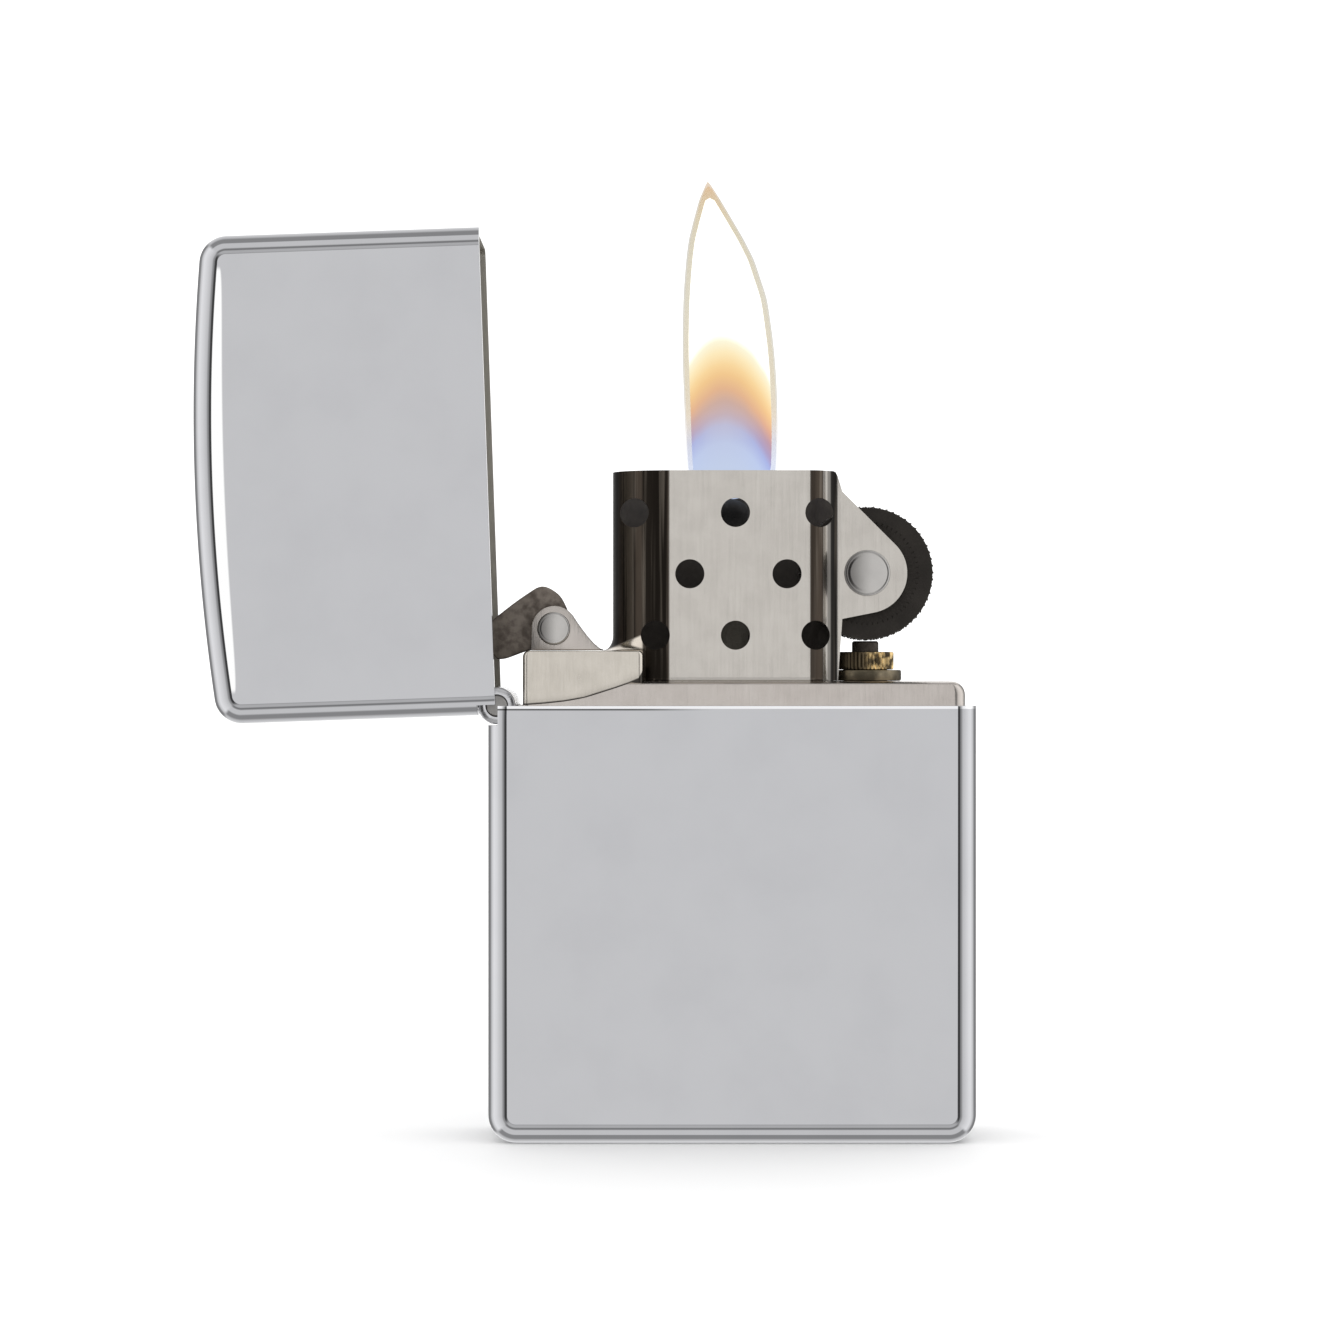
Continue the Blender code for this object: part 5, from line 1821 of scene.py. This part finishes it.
@dataclass
class FlintFeed:
    """Tube, flange, knurled collar, flint, pusher, spring and screw."""

    knurls: int = 44
    knurl_depth: float = 0.12 * MM

    def ring(self, name: str, node: str, ease: float, finish: Finish, slot: str,
             inner: float, relief: Callable | None = None, rows: int = 2) -> None:
        """A ring with eased edges that fills its node's box.

        Args:
            name: the piece's name.
            node: what it stands for.
            ease: width of the eased edges.
            finish: its finish.
            slot: its material slot.
            inner: radius of its hole.
            relief: extra radius, or None.
            rows: points up its side.
        """
        low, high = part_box(node)
        outer = (high[0] - low[0]) / 2
        side = np.linspace(low[2] + ease, high[2] - ease, rows)
        profile = np.concatenate([
            [(outer - ease, low[2]), (outer - 0.3 * ease, low[2] + 0.3 * ease)],
            np.stack([np.full(rows, outer), side], 1),
            [(outer - 0.3 * ease, high[2] - 0.3 * ease), (outer - ease, high[2]),
             (inner, high[2]), (inner, low[2])],
        ])
        piece = turned_piece(name, finish, profile, (TUBE_X, 0, 0), Axis.Z, self.knurls * 8, 30,
                             relief=relief)
        place(piece, Body.INSERT, slot, node)

    def knurling(self, angle: np.ndarray, height: np.ndarray) -> np.ndarray:
        """Upright V grooves that fade out at the collar's two ends.

        Args:
            angle: round the collar.
            height: up it.

        Returns:
            Extra radius.
        """
        low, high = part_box("flint_collar")
        inside = np.clip(np.minimum(height - low[2], high[2] - height) / (0.15 * MM), 0, 1)
        wave = abs(((angle * self.knurls / FULL_TURN) % 1.0) - 0.5) * 2
        return -self.knurl_depth * (1 - wave) * inside

    def build_stack(self) -> None:
        """Flint and pusher as turned rods with eased ends, and the slotted screw."""
        ease, centre = 0.12 * MM, (TUBE_X, 0, 0)
        for name, node, finish, slot in (
            ("flint_stick", "flint", FLINT, "flint_grey"),
            ("pusher_tip", "flint_pusher", BRASS, "brass"),
        ):
            low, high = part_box(node)
            radius = (high[0] - low[0]) / 2
            stem = 0.5 * MM if node == "flint_pusher" else radius
            knee = (low[2] + high[2]) / 2
            profile = np.array([
                (0, high[2]), (radius - ease, high[2]), (radius, high[2] - ease), (radius, knee),
                (stem, knee), (stem, low[2] + ease), (stem - ease, low[2]), (0, low[2]),
            ])
            rod = turned_piece(name, finish, profile, centre, Axis.Z, 48, 30)
            place(rod, Body.FLINT, slot, node)
        low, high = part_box("flint_screw")
        foot, head, outer, shank = low[2], 1.0 * MM, (high[0] - low[0]) / 2, 1.22 * MM
        groove, pitch, slot_reach, slot_half = 0.07 * MM, 0.45 * MM, 4 * MM, 0.3 * MM
        z = np.linspace(foot + head, high[2] - 0.2 * MM, 61)
        thread = shank - groove + groove * np.cos((z - z[0]) * FULL_TURN / pitch)
        profile = np.concatenate([
            [(0, foot), (outer - 0.25 * MM, foot), (outer, foot + 0.2 * MM), (outer, foot + head)],
            np.stack([thread, z], 1), [(shank - 0.3 * MM, high[2]), (0, high[2])],
        ])
        screw = turned_piece("tube_screw_head", BRASS, profile, centre, Axis.Z, 64, 35)
        cut(screw, box_shape((TUBE_X - slot_reach, -slot_half, foot - 1.0 * MM),
                             (TUBE_X + slot_reach, slot_half, foot + 0.5 * MM)))
        screw.data.set_sharp_from_angle(angle=math.radians(35))
        place(screw, Body.SCREW, "brass", "flint_screw")

    def build_spring(self) -> None:
        """The coil: a small circle carried along a helix, with its end turns closed up."""
        low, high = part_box("flint_spring")
        wire, turns, turn_steps, closed_up = 0.18 * MM, 20, 26, 0.018
        coil = (high[0] - low[0]) / 2 - wire
        along = np.linspace(0, 1, turns * turn_steps)
        angle = along * turns * FULL_TURN
        rise = along + closed_up * np.sin(FULL_TURN * along)
        z = low[2] + wire + (high[2] - low[2] - 2 * wire) * rise
        centre = np.stack([TUBE_X + coil * np.cos(angle), coil * np.sin(angle), z], 1)
        radial = np.stack([np.cos(angle), np.sin(angle), 0 * angle], 1)
        upward = np.array([0.0, 0.0, 1.0])
        around = np.linspace(0, FULL_TURN, 10, endpoint=False)
        ends = np.ones(len(along))
        ends[[0, -1]] = 1e-3
        out, up = np.cos(around)[None, :, None], np.sin(around)[None, :, None]
        spokes = out * radial[:, None] + up * upward
        maker = MeshMaker()
        points = centre[:, None] + wire * ends[:, None, None] * spokes
        points[0], points[-1] = centre[0], centre[-1]
        maker.grid(points, wrap_columns=True)
        spring = maker.finish("feed_spring", SPRING)
        place(spring, Body.INSERT, "spring_steel", "flint_spring")
        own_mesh(spring)

    def build(self) -> None:
        """Make everything."""
        bore, around_tube, ease = 1.25 * MM, 1.78 * MM, 0.12 * MM
        self.ring("tube", "flint_tube", 0.1 * MM, BRASS, "brass", bore)
        self.ring("flange", "tube_flange", ease, BRONZE, "bronze", around_tube)
        self.ring("collar", "flint_collar", ease, DARK_BRASS, "brass", around_tube,
                  self.knurling, 9)
        self.build_stack()
        self.build_spring()


def squared_off(value: np.ndarray) -> np.ndarray:
    """Keep the sign and pull the size towards 1, by a low power."""
    return np.sign(value) * abs(value) ** 0.45


@dataclass
class WickAndPacking:
    """Braided wick along its route, and the wads it runs between."""

    radius: float = 1.5 * MM
    strands: int = 8
    braid_pitch: float = 3.2 * MM
    braid_swell: float = 0.07
    sample: float = 0.32 * MM

    def route(self) -> np.ndarray:
        """Centre line of the wick: straight down beside the upper wad, then to and fro in level
        runs joined by half circles, each run clear of the wads over and under it.

        Returns:
            Points from its tip to its hidden end.
        """
        low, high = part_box("wick")
        wad_low, wad_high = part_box("packing_middle")
        r, gap = self.radius, 0.6 * MM
        turn = (wad_high[2] - wad_low[2]) / 2 + r + gap
        top_pass = wad_high[2] + r + gap
        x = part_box("packing_upper")[0][0] - r - gap
        drop = 0.9 * turn
        left, right = low[0] + r + turn, high[0] - r - turn
        down = np.stack([np.full(40, x), np.linspace(high[2], top_pass + drop, 40)], 1)
        parts = [
            down, arc_points((x - drop, top_pass + drop), drop, 0, -90, 12)[1:],
            np.stack([np.linspace(x - drop, left, 10)[1:-1], np.full(8, top_pass)], 1),
            arc_points((left, top_pass - turn), turn, 90, 270, 26),
            np.stack([np.linspace(left, right, 16)[1:-1], np.full(14, top_pass - 2 * turn)], 1),
            arc_points((right, top_pass - 3 * turn), turn, 90, -90, 26),
            np.stack([np.linspace(right, low[0] + 2 * r, 20)[1:],
                      np.full(19, top_pass - 4 * turn)], 1),
        ]
        flat = np.concatenate(parts)
        return np.stack([flat[:, 0], 0 * flat[:, 0], flat[:, 1]], 1)

    def build_wick(self) -> None:
        """A tube whose radius swells where the strands of the braid pass over each other."""
        path = self.route()
        step = np.linalg.norm(np.diff(path, axis=0), axis=1)
        length = np.concatenate([[0], np.cumsum(step)])
        even = np.arange(0, length[-1], self.sample)
        path = np.stack([np.interp(even, length, path[:, axis]) for axis in range(3)], 1)
        along = np.gradient(path, axis=0)
        along /= np.linalg.norm(along, axis=1)[:, None]
        side = np.array([0.0, 1.0, 0.0])
        other = np.cross(along, side)
        angle = np.linspace(0, FULL_TURN, 48, endpoint=False)[None, :]
        turn = even[:, None] * FULL_TURN / self.braid_pitch
        left = np.cos(self.strands / 2 * angle + turn)
        right = np.cos(self.strands / 2 * angle - turn)
        radius = self.radius * (0.93 + self.braid_swell * np.maximum(left, right))
        radius[-1] = 0
        frayed = np.array([0.0, 0.55, 0.85, 0.95])
        radius[:4] *= frayed[:, None]
        radius = np.minimum(radius, self.radius)
        points = path[:, None] + radius[..., None] * (
            np.cos(angle)[..., None] * side + np.sin(angle)[..., None] * other[:, None]
        )
        maker = MeshMaker()
        maker.grid(points, wrap_columns=True)
        place(maker.finish("wick_braid", WICK, 60), Body.INSERT, "wick_cotton", "wick")

    def build_wad(self, node: str, seed: int) -> None:
        """A wad: a box-like rounded form, dented by sums of sines that depend on its place.

        Its points are the directions of a sphere raised to a low power, which squares it off.

        Args:
            node: the wad's node.
            seed: shifts the dents.
        """
        low, high = (np.array(corner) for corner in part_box(node))
        longitude = np.linspace(0, FULL_TURN, 96, endpoint=False)[None, :]
        latitude = np.linspace(-RIGHT_ANGLE, RIGHT_ANGLE, 64)[:, None]
        form = np.stack([
            squared_off(np.cos(latitude)) * squared_off(np.cos(longitude)),
            squared_off(np.cos(latitude)) * squared_off(np.sin(longitude)),
            squared_off(np.sin(latitude)) + 0 * longitude,
        ], axis=2)
        dents = sum(
            np.sin(form @ np.array([5.1 * k, 3.7 * k, 4.3 * k]) * 1.3 + seed + 2.1 * k) / k
            for k in range(1, 5)
        )
        points = (low + high) / 2 + form * (high - low) / 2 * (0.955 + 0.016 * dents[..., None])
        maker = MeshMaker()
        maker.grid(points, wrap_columns=True)
        piece = maker.finish(f"cotton_{node.removeprefix('packing_')}", WADDING, 80)
        place(piece, Body.INSERT, "wadding", node)

    def build(self) -> None:
        """Make everything."""
        self.build_wick()
        wads = sorted(node for node in frame["nodes"] if node.startswith("packing_"))
        for seed, node in enumerate(wads):
            self.build_wad(node, seed)


# ---------------------------------------------------------------- flame


@dataclass
class Flame:
    """Three nested glowing surfaces that stand on the wick."""

    rise = 23.1 * MM
    skin: float = 0.13 * MM
    halo: float = 0.5 * MM
    depth_share: float = 0.92

    @staticmethod
    def mouth() -> float:
        """Height of the chimney's lip."""
        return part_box("chimney")[1][2]

    def outline(self, share: np.ndarray) -> tuple[np.ndarray, np.ndarray]:
        """Middle and half width of the flame over its height, from the chimney's lip to the tip.

        The left edge bows out a little and comes in late. The right edge falls in from a third of
        the way up, so the tip leans left.

        Args:
            share: 0 at the lip, 1 at the tip.

        Returns:
            Middle and half width, in metres.
        """
        places = np.array([-0.1, 0.0, 0.045, 0.25, 0.42, 0.593, 0.73, 0.80, 0.867, 0.938, 1.0])
        left = np.array([-1.5, -3.51, -3.57, -3.73, -3.88, -3.8, -3.57, -3.36, -2.97, -2.52, -1.9])
        right = np.array([1.5, 3.73, 3.76, 3.72, 3.45, 2.9, 1.85, 1.03, 0.12, -0.85, -1.78])
        fine = np.linspace(-0.1, 1, 400)
        edges = []
        for edge in (left, right):
            line = smoothed(np.stack([fine, np.interp(fine, places, edge)], 1), 400, 31)
            edges.append(np.interp(share, line[:, 0], line[:, 1]) * MM)
        return (edges[0] + edges[1]) / 2, np.maximum((edges[1] - edges[0]) / 2, 0)

    def surface(self, name: str, finish: Finish, inside: float, height: float) -> None:
        """A tube of round sections about the flame's leaning middle line.

        Args:
            name: the piece's name.
            finish: its glow.
            inside: how far it lies within the outline.
            height: its height over the lip.
        """
        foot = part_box("wick")[1][2] - 0.1 * MM
        base = (foot - self.mouth()) / height
        share = np.concatenate([np.linspace(base, 0, 12)[:-1], np.linspace(0, 1, 90) ** 0.9])
        middle, half = self.outline(np.clip(share * height / self.rise, -0.1, 1))
        radius = np.maximum(half - inside, 0)
        radius[0] = radius[-1] = 0
        angle = np.linspace(0, FULL_TURN, 64, endpoint=False)[None, :]
        z = self.mouth() + share * height
        points = np.stack([
            middle[:, None] + radius[:, None] * np.cos(angle),
            self.depth_share * radius[:, None] * np.sin(angle),
            z[:, None] + 0 * angle,
        ], axis=2)
        maker = MeshMaker()
        maker.grid(points, wrap_columns=True)
        flame = maker.finish(name, finish, 80)
        flame.visible_shadow = False
        place(flame, Body.INSERT, "wick_cotton")
        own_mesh(flame)

    def build(self) -> None:
        """Make the body, the halo and the outline."""
        self.surface("flame_white_body", BODY_GLOW, self.halo, self.rise - 1.3 * MM)
        self.surface("flame_halo", HALO_GLOW, self.skin, self.rise - 0.35 * MM)
        self.surface("flame_skin", EDGE_GLOW, 0.0, self.rise)


# ---------------------------------------------------------------- studio


@dataclass
class Studio:
    """Pale floor, soft light and the camera."""

    distance: float = 300 * MM
    field_width: float = 102.5 * MM
    middle: tuple = (-5.63 * MM, 37.66 * MM)
    sensor: float = 36.0
    light: float = 1.4
    reach: float = 3.0
    beside: tuple = (
        (0.0, 1.0), (0.062, 1.0), (0.072, 0.08), (0.125, 0.08), (0.15, 0.4), (0.18, 0.5),
        (0.22, 0.9), (0.33, 1.15), (0.5, 1.35), (0.6, 1.0), (0.68, 0.4), (0.84, 0.25), (0.94, 1.5),
        (1.0, 1.5),
    )
    above: tuple = (
        (0.0, 1.0), (0.062, 1.0), (0.072, 0.45), (0.085, 0.72), (0.15, 0.75), (0.18, 0.33),
        (0.21, 0.33), (0.25, 0.95), (0.39, 0.95), (0.44, 0.42), (0.57, 0.42), (0.65, 0.85),
        (0.94, 1.2), (1.0, 1.5),
    )

    def build_floor(self) -> None:
        """A wide pale floor."""
        maker = MeshMaker()
        x, y = np.meshgrid((-self.reach, self.reach), (-self.reach, self.reach))
        maker.grid(np.stack([x, y, 0 * x], axis=2))
        floor = maker.finish("floor", FLOOR)
        if floor.data.polygons[0].normal.z < 0:
            floor.data.flip_normals()
        floor.visible_glossy = False

    def build_world(self) -> None:
        """A studio all round that shows in glossy surfaces: a card in front, a dark gap beyond
        it, wide light to the sides, dimmer towards the back and white behind. Above and below,
        light and dark differ less. All other light is an even white.
        """
        world = bpy.data.worlds.new("studio")
        bpy.context.scene.world = world
        graph = Graph(world, "ShaderNodeOutputWorld")
        direction = graph.add("ShaderNodeTexCoord", {}, {}).outputs["Generated"]
        split = graph.add("ShaderNodeSeparateXYZ", {}, {0: direction})
        x, y, z = (Value(graph, socket) for socket in split.outputs)
        angle = (y * -1.0).arccosine() * (1 / math.pi)
        beside, above = (
            graph.ramp(angle, [(share, (tone,) * 3) for share, tone in tones])
            for tones in (self.beside, self.above)
        )
        colour = graph.mix((abs(z) - abs(x)).step(-0.12, 0.12), beside, above)
        studio = graph.add("ShaderNodeBackground", {}, {"Color": colour, "Strength": 1.0})
        lamp = {"Color": (*WHITE, 1.0), "Strength": self.light}
        even = graph.add("ShaderNodeBackground", {}, lamp)
        glossy = graph.add("ShaderNodeLightPath", {}, {}).outputs["Is Glossy Ray"]
        shaders = {0: glossy, 1: even.outputs[0], 2: studio.outputs[0]}
        mixed = graph.add("ShaderNodeMixShader", {}, shaders)
        graph.tree.links.new(mixed.outputs[0], graph.output.inputs["Surface"])

    def build_camera(self) -> None:
        """Level with the middle of the object, square to its front."""
        data = bpy.data.cameras.new("camera")
        data.sensor_width = self.sensor
        data.lens = self.sensor * self.distance / self.field_width
        camera = bpy.data.objects.new("camera", data)
        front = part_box("case_shell")[0][1]
        camera.location = (self.middle[0], front - self.distance, self.middle[1])
        camera.rotation_euler = (RIGHT_ANGLE, 0, 0)
        bpy.context.collection.objects.link(camera)
        bpy.context.scene.camera = camera

    def build(self) -> None:
        """Make everything."""
        bpy.context.scene.view_settings.view_transform = "Standard"
        self.build_floor()
        self.build_world()
        self.build_camera()


def main() -> None:
    """Build every sub-assembly in order."""
    logging.basicConfig(level=logging.INFO, format="%(message)s")
    for part in (Studio(), CaseAndLid(), Insert(), Chimney(), CamGear(), SparkWheel(), FlintFeed(),
                 WickAndPacking(), Flame()):
        LOG.info("building %s", type(part).__name__)
        part.build()


if __name__ == "__main__":
    main()
